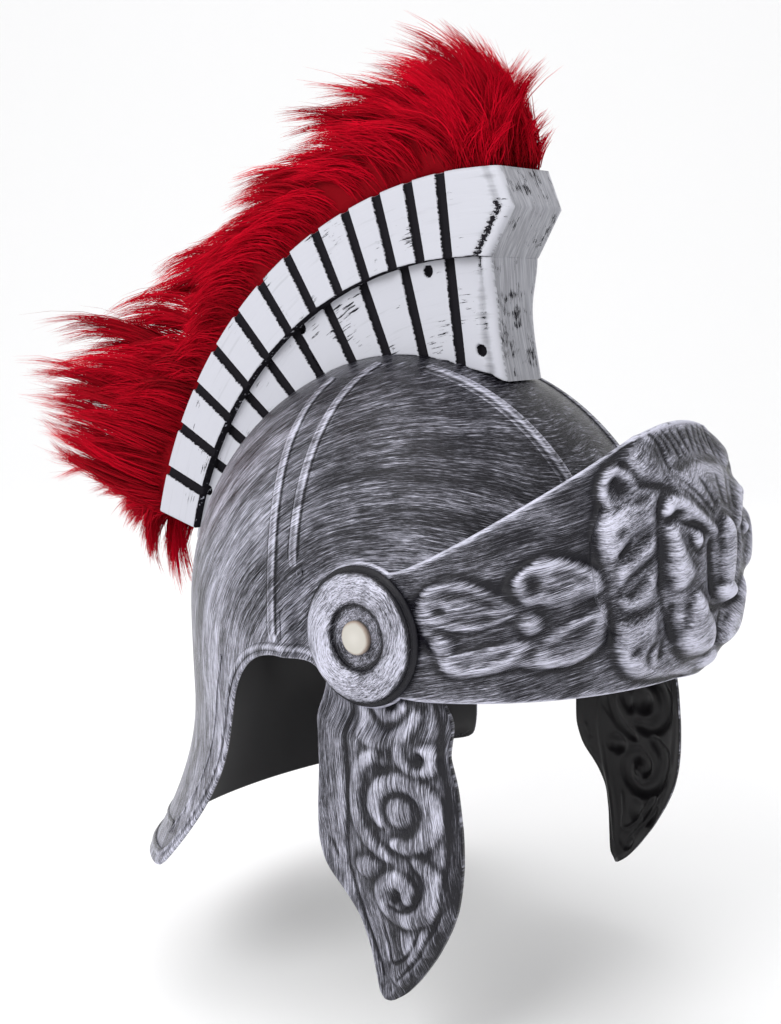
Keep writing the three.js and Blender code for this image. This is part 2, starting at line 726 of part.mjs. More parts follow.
// A groove with a round inner end, cut into one side wall along a radius of the crest circle.
function slot(side, angle, low, high, half) {
  const radius = slotWidth / 2;
  const shape = new THREE.Shape();
  shape.moveTo(high, -radius);
  shape.lineTo(high, radius);
  shape.lineTo(low + radius, radius);
  shape.absarc(low + radius, 0, radius, Math.PI / 2, 1.5 * Math.PI, false);
  shape.closePath();
  const options = { depth: 2 * slotDepth, bevelEnabled: false, curveSegments: 2 };
  const geometry = new THREE.ExtrudeGeometry(shape, options);
  geometry.rotateZ(radians(angle));
  geometry.applyMatrix4(new THREE.Matrix4().makeBasis(vec(0, 1, 0), vec(0, 0, 1), vec(1, 0, 0)));
  geometry.translate(side * half - slotDepth, crestCentre.y, crestCentre.z);
  return toSolid(geometry);
}

// Distance from the crest circle's centre to the tier edge, and to the dome, along an angle.
function tierReach(angle) {
  const [dy, dz] = [crestTierCentre.y - crestCentre.y, crestTierCentre.z - crestCentre.z];
  const along = dy * Math.cos(radians(angle)) + dz * Math.sin(radians(angle));
  return along + Math.sqrt(along ** 2 - dy ** 2 - dz ** 2 + crestTierRadius ** 2);
}

function domeReach(angle) {
  const centreZ = skullWall - domeHeight;
  const [c, s] = [Math.cos(radians(angle)), Math.sin(radians(angle))];
  const narrowed = Math.sqrt(1 - (crestLowerHalf / (skullWidth / 2)) ** 2);
  const [b, h] = [(skullLength / 2) * narrowed, domeHeight * narrowed];
  const [y0, z0] = [crestCentre.y, crestCentre.z - centreZ];
  const a2 = (c / b) ** 2 + (s / h) ** 2;
  const a1 = (y0 * c) / b ** 2 + (z0 * s) / h ** 2;
  const a0 = (y0 / b) ** 2 + (z0 / h) ** 2 - 1;
  return (-a1 + Math.sqrt(a1 ** 2 - a2 * a0)) / a2;
}

function makeCrestHolder() {
  let crest = barAcross(upperTier(0), crestUpperHalf).add(barAcross(lowerTier(0), crestLowerHalf));
  crest = crest.subtract(skullEnvelope());
  crest = crest.subtract(barAcross(upperTier(crestWall), crestUpperHalf - crestWall));
  crest = crest.subtract(barAcross(lowerTier(crestWall), crestLowerHalf - crestWall));
  const wallAngle = toDegrees(crestWall / crestRadius);
  const front = crestFrontAngle - wallAngle;
  const rear = crestRearAngle + wallAngle;
  const channel = [
    ...arcPoints(crestCentre, crestRadius - channelDepth, front, rear),
    ...arcPoints(crestCentre, crestRadius + channelDepth, rear, front),
  ];
  crest = crest.subtract(barAcross(new THREE.Shape(channel), crestUpperHalf - crestWall));
  for (const side of [-1, 1]) {
    for (let i = 0; i < upperSlots.count; i += 1) {
      const angle = upperSlots.first - upperSlots.step * i - upperSlots.stepGrowth * i * i;
      const low = tierReach(angle) + slotInset;
      crest = crest.subtract(slot(side, angle, low, crestRadius + 1, crestUpperHalf));
    }
    for (let i = 0; i < lowerSlots.count; i += 1) {
      const angle = lowerSlots.first - lowerSlots.step * i - lowerSlots.stepGrowth * i * i;
      const low = domeReach(angle) + slotInset;
      crest = crest.subtract(slot(side, angle, low, tierReach(angle) - 0.5, crestLowerHalf));
    }
    for (const hole of pinHoles) {
      const bore = new THREE.CylinderGeometry(pinHoleRadius, pinHoleRadius, 2 * slotDepth, 8);
      bore.rotateZ(Math.PI / 2);
      const spot = onCircle(crestCentre, hole.radius, hole.angle);
      bore.translate(side * crestLowerHalf, spot.x, spot.y);
      crest = crest.subtract(toSolid(bore));
    }
  }
  return toGeometry(crest);
}

// A tapered lock of fur with a five-sided section, bending towards its lean as it rises.
function furLock(row) {
  const sides = 5;
  const length = row.length * pileHeight - lockRootRise;
  const angle = mix(crestFrontAngle - 2.5, crestRearAngle + 2.5, row.at);
  const root = onCircle(crestCentre, crestRadius + lockRootRise, angle);
  const profile = [0.85, 1, 0.72, 0.32, 0.05];
  const columns = [];
  const spot = root.clone();
  let across = 0;
  profile.forEach((share, k) => {
    const heading = radians(angle - row.lean * (0.6 + 0.2 * k));
    if (k > 0) {
      spot.x += (length / 4) * Math.cos(heading);
      spot.y += (length / 4) * Math.sin(heading);
      across += (row.side * k) / 2;
    }
    const radius = row.thick * pileHeight * share;
    const ring = [];
    for (let i = 0; i < sides; i += 1) {
      const turn = (2 * Math.PI * i) / sides;
      const along = radius * Math.cos(turn);
      const y = spot.x - along * Math.sin(heading);
      const z = spot.y + along * Math.cos(heading);
      ring.push(vec(across + radius * Math.sin(turn), y, z));
    }
    columns.push(ring);
  });
  return loft(columns);
}

// A closed body through rings of points, with flat ends.
function loft(rings) {
  const count = rings[0].length;
  const points = rings.flat();
  const triangles = [];
  for (let k = 0; k < rings.length - 1; k += 1) {
    for (let i = 0; i < count; i += 1) {
      const [a, b] = [k * count + i, k * count + ((i + 1) % count)];
      triangles.push([a, b, b + count], [a, b + count, a + count]);
    }
  }
  const last = (rings.length - 1) * count;
  for (let i = 1; i < count - 1; i += 1) {
    triangles.push([0, i + 1, i], [last, last + i, last + i + 1]);
  }
  return toSolid(closedGeometry(points, triangles));
}

function makePlume() {
  const channelHalf = crestUpperHalf - crestWall - stripClearance;
  const floor = crestRadius - channelDepth + stripClearance;
  const spare = toDegrees((crestWall + stripClearance) / crestRadius);
  const [from, to] = [crestFrontAngle - spare, crestRearAngle + spare];
  const strip = new THREE.Shape([
    ...arcPoints(crestCentre, floor, from, to),
    ...arcPoints(crestCentre, floor + stripThickness, to, from),
  ]);
  const section = [
    { half: 0.8, up: -0.04 },
    { half: 0.8, up: 0.03 },
    { half: 1, up: 0.4 },
    { half: 0.75, up: 0.8 },
    { half: 0.25, up: 1 },
  ];
  const rings = pile.map((row) => {
    const angle = mix(crestFrontAngle - 1.6, crestRearAngle + 1.6, row.at);
    const right = section.map((spot) => ({ ...spot, side: -1 }));
    const left = section.map((spot) => ({ ...spot, side: 1 }));
    return [...left, ...right.reverse()].map(({ half, up, side }) => {
      const base = onCircle(crestCentre, crestRadius, angle);
      const rise = up * row.height * pileHeight;
      const heading = radians(angle - row.lean);
      const width = up < 0.1 ? 0.82 * channelHalf : row.half * half * crestUpperHalf;
      return vec(side * width, base.x + rise * Math.cos(heading), base.y + rise * Math.sin(heading));
    });
  });
  return toGeometry(joined([barAcross(strip, channelHalf), loft(rings), ...locks.map(furLock)]));
}

const finishes = {
  silver: { color: '#8f919b', roughness: 0.42, metalness: 0.55 },
  crestSilver: { color: '#d8dae2', roughness: 0.4, metalness: 0.35 },
  rivet: { color: '#cfcac0', roughness: 0.45, metalness: 0.3 },
  plume: { color: '#a8061c', roughness: 0.95, metalness: 0 },
};

function node(name, geometry, finish) {
  const mesh = new THREE.Mesh(geometry, new THREE.MeshStandardMaterial(finishes[finish]));
  mesh.name = name;
  return mesh;
}

const helmet = new THREE.Group();
helmet.add(node('skull', makeSkull(), 'silver'));
helmet.add(node('crest_holder', makeCrestHolder(), 'crestSilver'));
helmet.add(node('plume', makePlume(), 'plume'));
for (const [name, side] of [['right', -1], ['left', 1]]) {
  helmet.add(node(`temple_disc_${name}`, makeTempleDisc(side), 'silver'));
  helmet.add(node(`rivet_${name}`, makeRivet(side), 'rivet'));
}

const visor = new THREE.Group();
visor.add(node('visor', makeVisor(), 'silver'));

const cheekGuards = new THREE.Group();
cheekGuards.add(node('cheek_guard_right', makeCheekGuard(-1), 'silver'));
cheekGuards.add(node('cheek_guard_left', makeCheekGuard(1), 'silver'));

const group = new THREE.Group();
group.add(helmet, visor, cheekGuards);

export default group;
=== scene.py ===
"""A Roman legionary parade helmet of black moulded plastic, dry-brushed with silver, under a plume
of crimson fake fur.

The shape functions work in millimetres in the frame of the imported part: +Z up, the wearer faces -Y
and the origin is the inside of the crown. Meshes are turned into metres as they are made.
"""

import math

import bmesh
import bpy
import numpy as np
from bpy.props import FloatProperty, FloatVectorProperty, IntProperty, PointerProperty
from mathutils import Matrix, Vector


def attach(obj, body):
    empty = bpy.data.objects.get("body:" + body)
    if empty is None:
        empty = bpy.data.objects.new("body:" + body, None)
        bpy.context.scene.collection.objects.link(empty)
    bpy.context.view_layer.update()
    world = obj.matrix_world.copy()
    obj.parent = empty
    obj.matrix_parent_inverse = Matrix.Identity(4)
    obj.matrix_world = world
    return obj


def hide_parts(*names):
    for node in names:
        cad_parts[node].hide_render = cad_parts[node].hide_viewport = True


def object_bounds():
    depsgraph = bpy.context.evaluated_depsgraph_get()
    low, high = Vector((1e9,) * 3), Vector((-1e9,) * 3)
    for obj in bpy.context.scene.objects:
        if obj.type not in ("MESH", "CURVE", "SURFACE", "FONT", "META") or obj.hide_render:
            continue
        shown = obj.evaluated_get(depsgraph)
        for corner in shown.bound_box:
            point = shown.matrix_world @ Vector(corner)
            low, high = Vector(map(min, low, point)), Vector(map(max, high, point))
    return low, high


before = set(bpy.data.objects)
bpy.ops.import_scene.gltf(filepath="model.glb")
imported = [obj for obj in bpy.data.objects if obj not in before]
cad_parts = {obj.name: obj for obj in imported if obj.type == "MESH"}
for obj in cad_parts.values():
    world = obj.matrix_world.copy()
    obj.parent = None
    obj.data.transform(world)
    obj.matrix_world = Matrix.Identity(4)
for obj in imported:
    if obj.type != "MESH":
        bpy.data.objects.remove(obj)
cad_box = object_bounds()

bl_info = {
    "name": "Roman legionary helmet",
    "version": (1, 0, 0),
    "blender": (4, 5, 0),
    "location": "View3D > Sidebar > Helmet",
    "description": "Builds the finished surfaces of a parade helmet round its packed solids",
    "category": "Object",
}

MM = 0.001

# Skull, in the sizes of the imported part.
SKULL_WIDTH = 192.0
SKULL_LENGTH = 238.0
DOME_HEIGHT = 117.7
SKULL_WALL = 2.5
WALL_TAPER = 1.5
WALL_TAPER_DEPTH = 70.0
BROW_HEIGHT = -116.0
NECK_RIM_WIDTH = 262.0
NECK_RIM_LENGTH = 250.0
NECK_RIM_HEIGHT = -216.5
NECK_DROOP = 0.19
FLARE_DEPTH = 68.0
FLARE_POWER = 2.1
CENTRE_Z = SKULL_WALL - DOME_HEIGHT
RIM_POINTS = 150
SKULL_ROWS = 100
SKULL_INNER_ROWS = 28
SKULL_LIP_TURNS = np.radians([30, 60, 90, 120, 150])
DEGREE_ON_WALL = 1.9

# Sections of the ridges on the dome and of the beads along the rim: places across them, the share of
# their rise and how much paint they take, more on their raised parts and little at their feet, partly
# as dry brushing and partly as painted highlights and painted shade, the shade deeper at the foot of
# one side. A bead is its distance from the edge, its width, its rise and how many rim points it starts
# behind the brow corner.
RIDGE_POINTS = 90
RIDGE_ACROSS = np.array([-4.2, -3.2, -2.6, -2.2, -1.8, -1.3, 0, 1.3, 1.8, 2.2, 2.6, 3.2, 4.2])
RIDGE_SECTION = np.array([-0.3, 0.05, 0.05, 0.2, 0.7, 0.92, 1, 0.92, 0.7, 0.2, 0.05, 0.05, -0.3])
RIDGE_WEAR_AND_SHADING = np.array([0.5, 0.46, 0.34, 0.4, 0.62, 0.68, 0.56, 0.7, 0.72, 0.3, 0.24, 0.44, 0.5])
RIDGE_SUNK = -1.4
BEADS = [(2.6, 1.5, 0.9, 0), (12.5, 0.9, 0.5, 26)]
BEAD_ACROSS = np.array([-1.5, -1.15, -0.9, -0.45, 0, 0.45, 0.9, 1.15, 1.5])
BEAD_SECTION = np.array([-0.35, 0.06, 0.35, 0.85, 1, 0.85, 0.35, 0.06, -0.35])
BEAD_WEAR_AND_SHADING = np.array([0.48, 0.4, 0.5, 0.62, 0.68, 0.62, 0.5, 0.3, 0.48])
BEAD_SUNK = -1.2
BEAD_SIDE_TURN = 58

# Ear arch and brow corner.
ARCH_CENTRE_Y = 4.0
ARCH_SPRING_HEIGHT = -166.0
ARCH_HALF_WIDTH = 36.0
ARCH_RISE = 48.0
ARCH_POWER = 2.2
ARCH_FOOT_REACH = 16.9
TAB_HEIGHT = -135.0
TAB_Y = -36.0
BROW_CORNER_Y = -62.0

# Temple pivots and what is stacked on them.
HINGE_Y = -41.0
HINGE_Z = -103.8
SEAT_HALF = 88.4
SEAT_RADIUS = 36.0
SEAT_BLEND = 10.0
SEAT_RELEASE = 8.2
STACK_GAP = 0.5
GUARD_WALL = 2.0
VISOR_WALL = 2.3
DISC_RADIUS = 28.0
DISC_THICKNESS = 5.6
DISC_RING_RADIUS = 19.5
DISC_RING_WIDTH = 13.0
DISC_DISH_DEPTH = 2.8
DISC_SEGMENTS = 108
RIVET_SHANK_RADIUS = 3.2
RIVET_HEAD_RADIUS = 6.8
RIVET_HEAD_THICKNESS = 2.2
RIVET_TAIL_RADIUS = 6.0
RIVET_SEGMENTS = 64
PIN_CLEARANCE = 0.3
GUARD_OUTER = SEAT_HALF + STACK_GAP + GUARD_WALL
VISOR_OUTER_FLAT = GUARD_OUTER + STACK_GAP + VISOR_WALL
DISC_BACK = VISOR_OUTER_FLAT + STACK_GAP
DISC_FRONT = DISC_BACK + DISC_THICKNESS

# Visor.
VISOR_HALF_WIDTH = 98.0
VISOR_REACH = 93.0
VISOR_END_RADIUS = 28.0
VISOR_BOTTOM_SIDE = -22.0
VISOR_BOTTOM_FRONT = -18.0
VISOR_TOP_FRONT = 81.0
VISOR_TOP_START = 12.0
VISOR_TOP_POWER = 1.35
MASK_RISE = 18.0
MASK_HALF_ANGLE = 34.0
MASK_CENTRE_Z = 33.0
MASK_HALF_HEIGHT = 51.0
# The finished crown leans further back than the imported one.
CROWN_LEAN = 14.5
CROWN_LEAN_ANGLE = 50.0
VISOR_END_TURN = 20.0
VISOR_ROWS = 128
VISOR_INNER_ROWS = 20
VISOR_LIP_TURNS = np.radians([35, 90, 145])

# Cheek guards. Each outline row is how far down, then its front and rear edge.
GUARD_DROP = 150.0
GUARD_HALF_WIDTH = 45.0
GUARD_CROWN = 98.8
GUARD_CROWN_Y = 12.0
GUARD_CURVE = 0.0026
GUARD_TIP_INSET = 6.4
GUARD_LEAD = 4.0
GUARD_SWING_ROOM = 6.0
GUARD_TIP_ROUND = 4.5
GUARD_ROWS = 200
GUARD_COLUMNS = 72
GUARD_OUTLINE = [
    (-0.12, -0.14, 0.14), (-0.08, -0.3, 0.3), (0, -0.45, 0.43), (0.08, -0.62, 0.48),
    (0.165, -0.74, 0.5), (0.21, -0.8, 0.47), (0.27, -0.86, 0.43), (0.36, -0.94, 0.41),
    (0.48, -0.99, 0.43), (0.57, -1, 0.42), (0.64, -0.98, 0.33), (0.7, -0.94, 0.12),
    (0.76, -0.86, -0.02), (0.84, -0.72, -0.09), (0.92, -0.54, -0.13), (0.97, -0.4, -0.15),
    (1, -0.29, -0.19),
]

# Crest holder: a tall upper tier on a narrower lower tier, both parts of circles in the YZ plane.
CREST_CENTRE = (-48.8, -133.6)
CREST_RADIUS = 213.0
CREST_MEAN_RADIUS = 195.0
TIER_CENTRE = (-36.0, -131.8)
TIER_RADIUS = 175.0
UPPER_HALF = 20.0
LOWER_HALF = 15.0
CREST_WALL = 2.0
CREST_SEAT = 0.3
CHANNEL_DEPTH = 5.0
CREST_FRONT_ANGLE = 90.5
CREST_REAR_ANGLE = 13.5
TIER_FRONT_ANGLE = 93.4
LOWER_FRONT_ANGLE = 89.2
LOWER_REAR_ANGLE = 11.5
BEAK_REACH = 7.0
BEAK_DROP = 16.5
FRONT_FOOT = (-52.0, -8.6)
FRONT_HOLLOW = 4.5
BEVEL_OFFSET = 6.6
BEVEL_SHADE_OFFSET = 6.4
FOOT_INSET = 0.25
END_CAP_SPREAD = np.array([1.0, 0.96, 0.6, 0.2, -0.2, -0.6, -0.96, -1.0])
SLOT_WIDTH = 5.0
SLOT_DEPTH = 1.2
SLOT_COLUMNS = [-3.1, -2.75, -2.5, -2.3, -2.1, -1.7, -0.8, 0.8, 1.7, 2.1, 2.3, 2.5, 2.75, 3.1]
UPPER_SLOT_ANGLES = 82.5 - 4.6 * np.arange(12) - 0.1 * np.arange(12) ** 2
LOWER_SLOT_ANGLES = 81.6 - 8.1 * np.arange(9) + 0.12 * np.arange(9) ** 2
PIN_HOLE_RADIUS = 2.6
PIN_HOLE_DEPTH = 3.0
PIN_HOLES = [(77.7, 175.0), (85.2, 138.5), (52.5, 183.0), (19.8, 187.0)]

# How the plume is made: its seed, the grid of the backing pile and the most hairs in one piece.
FUR_SEED = 7
PILE_COLUMNS = 180
PILE_ROWS = 61
HAIRS_PER_PIECE = 19500
HAIR_STEPS = 6
HAIR_TAPER = np.array([0.75, 1, 0.95, 0.7, 0.42, 0.06])

# Plume. Outline rows are an angle about the crest circle's centre, the height of the fur over the
# crest there, its half width, and how far the tips are swept back from their roots in degrees.
PLUME = [
    (93.5, 20, 14, -5), (91.5, 37, 19, -4), (89, 42, 22, -2), (86.5, 51, 24, 1), (84, 60, 25, 4),
    (80.5, 63, 26, 7), (77, 63, 26, 9), (74, 59, 26, 11), (70.5, 56, 25, 12), (66, 55, 24, 13),
    (64, 58, 23, 14), (62, 44, 22, 12), (58.5, 49, 22, 11), (55, 52, 23, 11), (51, 54, 23, 12),
    (47, 53, 22, 12), (44, 49, 21, 12), (40.5, 54, 21, 12), (37, 44, 20, 11), (33.5, 37, 19, 9),
    (30.5, 38, 18, 6), (27.5, 72, 20, 7), (24, 99, 21, 8), (22, 120, 21, 7), (18, 140, 19, 5),
    (15, 128, 17, 2), (12.5, 104, 16, -1), (10.5, 72, 14, -4), (7.5, 41, 12, -8), (4.8, 27, 10, -11),
    (2.9, 12, 8, -12),
]
# Long wisps that stand out of the outline: tip angle, tip height, side and sweep.
WISPS = [
    (92.6, 44, 2, -6), (91.2, 47, -5, -5), (80.6, 69, 5, 8), (76.6, 72, -4, 11), (64.4, 72, 4, 15),
    (60.7, 67, -6, 14), (63, 62, 9, 14), (57, 58, 5, 12), (52, 60, -5, 13), (40.5, 66, 4, 13),
    (36.8, 70, -6, 13), (35.3, 80, 5, 13), (34.2, 72, 0, 13), (30.4, 90, 4, 12), (28.4, 96, -3, 11),
    (26.4, 104, 6, 10), (24.1, 141, -4, 9), (22.4, 134, 4, 9), (19.8, 150, -6, 7), (17.8, 158, 3, 5),
    (16.6, 148, -3, 4), (13.6, 142, 5, 1), (12.4, 118, -5, -1), (11, 100, 3, -3), (8, 50, 0, -7),
    (6.2, 38, 3, -8), (4.4, 24, -2, -10), (2.8, 10, 1, -12), (0.9, -4, 0, -13),
]

# Ornament of the visor. Places are (degrees round from the front, millimetres above the pivots).
# A puff is a rounded form inside a closed outline, a roll follows a line, a groove is cut along one,
# and a lump or dip is an oval. Width is the shoulder or half width, rise the height in millimetres.
LION = [
    ("puff", 6, 4.8, [(25.6, 71), (30.4, 65.4), (31.4, 55), (33.4, 45.4), (32.6, 34), (30.2, 25), (28.6, 8),
                      (26.6, -7), (21.6, -14.6), (8, -17), (-8, -17), (-8, 84), (10, 83.5), (19, 77)]),
    ("puff", 5.5, 7.5, [(25.3, 68.9), (23.4, 71.8), (18.9, 75.3), (15.6, 74.6), (13.7, 69.9), (14, 64.6),
                        (15.4, 60.8), (18.2, 60.4), (22, 61.6), (23, 64.2), (24.3, 66.5)]),
    ("roll", 2.6, 6.4, [(29.8, 53.4), (30.8, 59.5), (29.3, 64.5), (26.6, 66), (24.6, 64), (23.2, 60)]),
    ("puff", 6.2, 8.4, [(31.3, 51.9), (32.9, 46.3), (33, 40.4), (31.9, 35), (29.5, 32.6), (27.3, 36.3),
                        (25.3, 40.8), (22.4, 43.8), (19.6, 46), (18.8, 50.6), (17.7, 54.6), (15.4, 58.2),
                        (18.2, 59.2), (23, 56.4), (27.4, 54.8)]),
    ("puff", 5.0, 7.6, [(29.3, 30.8), (26.2, 35.2), (23.7, 39.4), (19.9, 42.2), (19.7, 36.8), (21.5, 32.7),
                        (25.2, 27.8), (28.2, 22), (29.5, 25.6)]),
    ("puff", 3.6, 7.4, [(28.3, 17.9), (26.9, 21.5), (21.6, 29.6), (19.8, 34.6), (19.2, 27.3), (19.4, 20.8),
                        (21.1, 15.6), (24.3, 13.4), (27, 14)]),
    ("puff", 5.2, 7.6, [(28, 9), (24.2, 11), (20.8, 12.8), (18.8, 15.8), (17.5, 5.4), (16.4, -2.7),
                        (16.8, -11.6), (21.4, -13.2), (25.3, -9), (27, -0.7)]),
    ("puff", 4.6, 5.4, [(17.4, 79.6), (14.4, 76.6), (12.6, 70), (11.6, 65), (6, 66.6), (0, 68), (-8, 68),
                        (-8, 86), (8, 85)]),
    ("puff", 7, 8.4, [(13.4, 64.6), (8.3, 66.8), (0, 68), (-8, 68), (-8, -16), (0, -15), (8, -12.5),
                      (13.6, -4), (16.6, 10), (18, 26), (18, 44), (14.6, 59.4)]),
    ("roll", 4.2, 11.4, [(17, 50.8), (15.2, 53.2), (12.7, 53.2), (10.3, 50.2), (7.5, 45.8), (4.8, 41.6)]),
    ("puff", 6.6, 12.2, [(17.6, 46.4), (14.9, 46), (13.4, 40.6), (11.6, 34), (9.9, 29.5), (10.2, 24.8),
                        (13, 20), (16, 19.6), (17.9, 27.1), (18.3, 38.3)]),
    ("lump", (3.2, 4.8), 12.4, [(10.4, 39.6)]),
    ("roll", 7.0, 13.6, [(0, 44), (0, 36), (0, 28), (0, 20)]),
    ("lump", (7.6, 5.6), 16.6, [(0, 17)]),
    ("puff", 7.4, 14.2, [(10.6, 22), (7.4, 19), (3.6, 10.5), (1, 3), (0.8, -5), (3, -8.8), (7, -9.2),
                       (11.4, -6.4), (13.4, 0), (13, 10), (12.4, 17)]),
    ("lump", (10, 5.6), 10.6, [(0, -11)]),
    ("roll", 1.9, 5.6, [(14.8, -2.6), (12.6, -8), (9, -12.6)]),
    ("roll", 1.9, 5.4, [(11, -8.2), (8, -11.6), (4.4, -14.4)]),
]
LION_CUTS = [
    ("dip", (3.6, 4.4), 2.6, [(27.1, 60.2)]),
    ("dip", (3.4, 2.2), 2.8, [(24.3, 68.6)]),
    ("groove", 1.1, 1.6, [(22.6, 61), (18, 60.2), (15, 59.2)]),
    ("groove", 1.0, 1.4, [(21.8, 69.8), (18.6, 72), (15.6, 70.2)]),
    ("groove", 1.2, 1.8, [(17.4, 56), (18.7, 49.1), (19.2, 41.5), (19, 30.4), (18.6, 20.7), (17.2, 12.2),
                          (15, 1.5)]),
    ("groove", 0.9, 1.8, [(27.9, 45.4), (29, 42.4)]),
    ("groove", 1.0, 1.2, [(29.3, 31.6), (26, 36.6), (23.6, 41), (19.4, 44.2)]),
    ("groove", 1.0, 1.0, [(28, 21.6), (25.2, 27.4), (21.5, 32.4), (19.6, 36)]),
    ("groove", 1.0, 1.0, [(27.6, 11), (24, 12.2), (20.6, 14), (18.6, 17.4)]),
    ("groove", 1.2, 2.6, [(25.8, 40.4), (28.3, 35)]),
    ("groove", 0.8, 1.2, [(27, 50.4), (23.4, 51), (20.6, 52.6)]),
    ("groove", 2.6, 2.0, [(26.2, 18.8), (24, 22.4), (21.8, 26)]),
    ("groove", 1.2, 2.2, [(22.6, -0.6), (24.1, -6.4)]),
    ("groove", 1.2, 2.4, [(18.4, 1.4), (20, -4.8), (18.4, -10.6)]),
    ("groove", 0.9, 1.8, [(16.2, 2), (16.5, -7.2)]),
    ("groove", 1.0, 2.6, [(15.3, 79.6), (13.3, 77.4), (12.1, 72.7), (12, 65.6)]),
    ("groove", 1.0, 2.4, [(12.9, 79.8), (10.2, 76.2), (9.4, 69.6)]),
    ("groove", 1.0, 2.4, [(9.9, 80), (7.3, 75), (6.4, 68.6)]),
    ("groove", 0.9, 2.2, [(6.2, 80), (4.6, 74.6), (3.6, 69)]),
    ("groove", 0.9, 2.0, [(2.4, 80), (1.8, 75), (1, 70)]),
    ("groove", 0.9, 2.2, [(12.2, 64), (9.7, 60.6), (7, 56.4), (3.4, 48)]),
    ("groove", 0.9, 2.0, [(12.2, 60.6), (10.2, 57.6), (8.2, 54), (6, 48.8)]),
    ("groove", 0.9, 2.0, [(4, 62), (2.6, 56), (1.8, 50)]),
    ("dip", (3.4, 3.4), 2.2, [(15, 50)]),
    ("groove", 1.2, 2.6, [(15.2, 47.4), (12, 45.6), (9.4, 44.6), (7.4, 42.4)]),
    ("groove", 0.8, 2.0, [(12.8, 43), (12, 38.6), (10.2, 34.2), (8.8, 37.6), (8.2, 42)]),
    ("groove", 2.6, 3.0, [(6.4, 38.6), (5.8, 31), (5.2, 23), (4.4, 16)]),
    ("groove", 1.3, 2.8, [(6.6, 12.6), (3.4, 10.6), (0, 10)]),
    ("groove", 1.3, 2.8, [(0, 9), (0, 2), (0.4, -5)]),
    ("groove", 2.6, 2.2, [(15.4, 16), (15.2, 8.5), (13.8, 0)]),
]
LEAVES = [
    ("puff", 4, 2.6, [(73.6, 19), (64.6, 27.6), (54, 23), (47, 35), (41.8, 36.4), (31, 30), (28.6, 18),
                      (28.8, 4), (32.6, -3), (44, -8), (50, -6.4), (58, -10.2), (66, -10.8),
                      (68.8, -4), (73, 8)]),
    ("puff", 3.2, 4.2, [(73.1, 18.1), (70.8, 23.8), (64.6, 26.8), (59.6, 25.6), (54.3, 21.7), (50.8, 17),
                        (52.9, 13.2), (58.2, 8.8), (62.8, 6.6), (69, 7.8), (71.8, 12.7)]),
    ("puff", 3.2, 4.2, [(63.4, -1.1), (56.8, 2.6), (51.5, 5.5), (47.4, 3.9), (48.5, -1.3), (52.1, -6.9),
                        (58.1, -9.3), (64.4, -10), (67.7, -7), (67.4, -2.7)]),
    ("roll", 1.5, 4.9, [(66.9, 16.6), (62.9, 15.8), (58.2, 16.3), (53, 15.2)]),
    ("roll", 1.4, 4.7, [(66.4, 8.6), (61, 8.6), (56.8, 10.6), (51.6, 13.8)]),
    ("roll", 1.3, 4.8, [(66, -2.4), (60, -0.6), (54.4, 2), (49.6, 4)]),
    ("lump", (5.2, 5.0), 6.0, [(66.9, 2.2)]),
    ("lump", (5.2, 5.2), 6.6, [(47.4, 10.7)]),
    ("puff", 3.8, 5.2, [(50.4, 30), (47.2, 34.4), (41.8, 35.8), (35.2, 32.8), (32.1, 29.2), (31, 24.7),
                        (31.8, 20.9), (35.7, 17.7), (40.6, 15.5), (47, 17.9), (50.7, 21.7), (51.6, 25.6)]),
    ("puff", 3.8, 5.2, [(31, 18.2), (29.7, 13.6), (29.8, 4.7), (32.6, -1.7), (37.9, -6.4), (44.7, -6.9),
                        (46.8, -2.5), (45.8, 2.5), (41.9, 9.4), (36.4, 13.7)]),
    ("roll", 1.5, 6.0, [(49, 30.8), (50.8, 26.7), (50.1, 22.3), (47.4, 18.6)]),
    ("roll", 1.4, 6.0, [(45.4, 20.6), (40, 22), (34, 24.6)]),
    ("roll", 1.4, 5.9, [(44.2, -4), (38.3, -0.4), (32.2, 6)]),
]
LEAF_CUTS = [
    ("dip", (3.4, 2.2), 2.4, [(68.1, 14.6)]),
    ("groove", 3.4, 1.3, [(67.4, 20.6), (61, 21.2), (55.4, 18.4)]),
    ("groove", 2.6, 1.1, [(66.6, 12), (61, 12), (56, 13.2)]),
    ("groove", 2.8, 1.3, [(64.6, -6), (58.4, -4.2), (52, -0.4)]),
    ("dip", (3.6, 4.4), 2.8, [(47.2, 26)]),
    ("groove", 3.2, 1.1, [(43.4, 29), (38.6, 29.2), (34.4, 27.2)]),
    ("groove", 2.2, 0.9, [(42.4, 18.2), (37.6, 19.8), (33.8, 21.6)]),
    ("groove", 3.4, 1.6, [(44, 1), (39, 5), (33, 11)]),
]

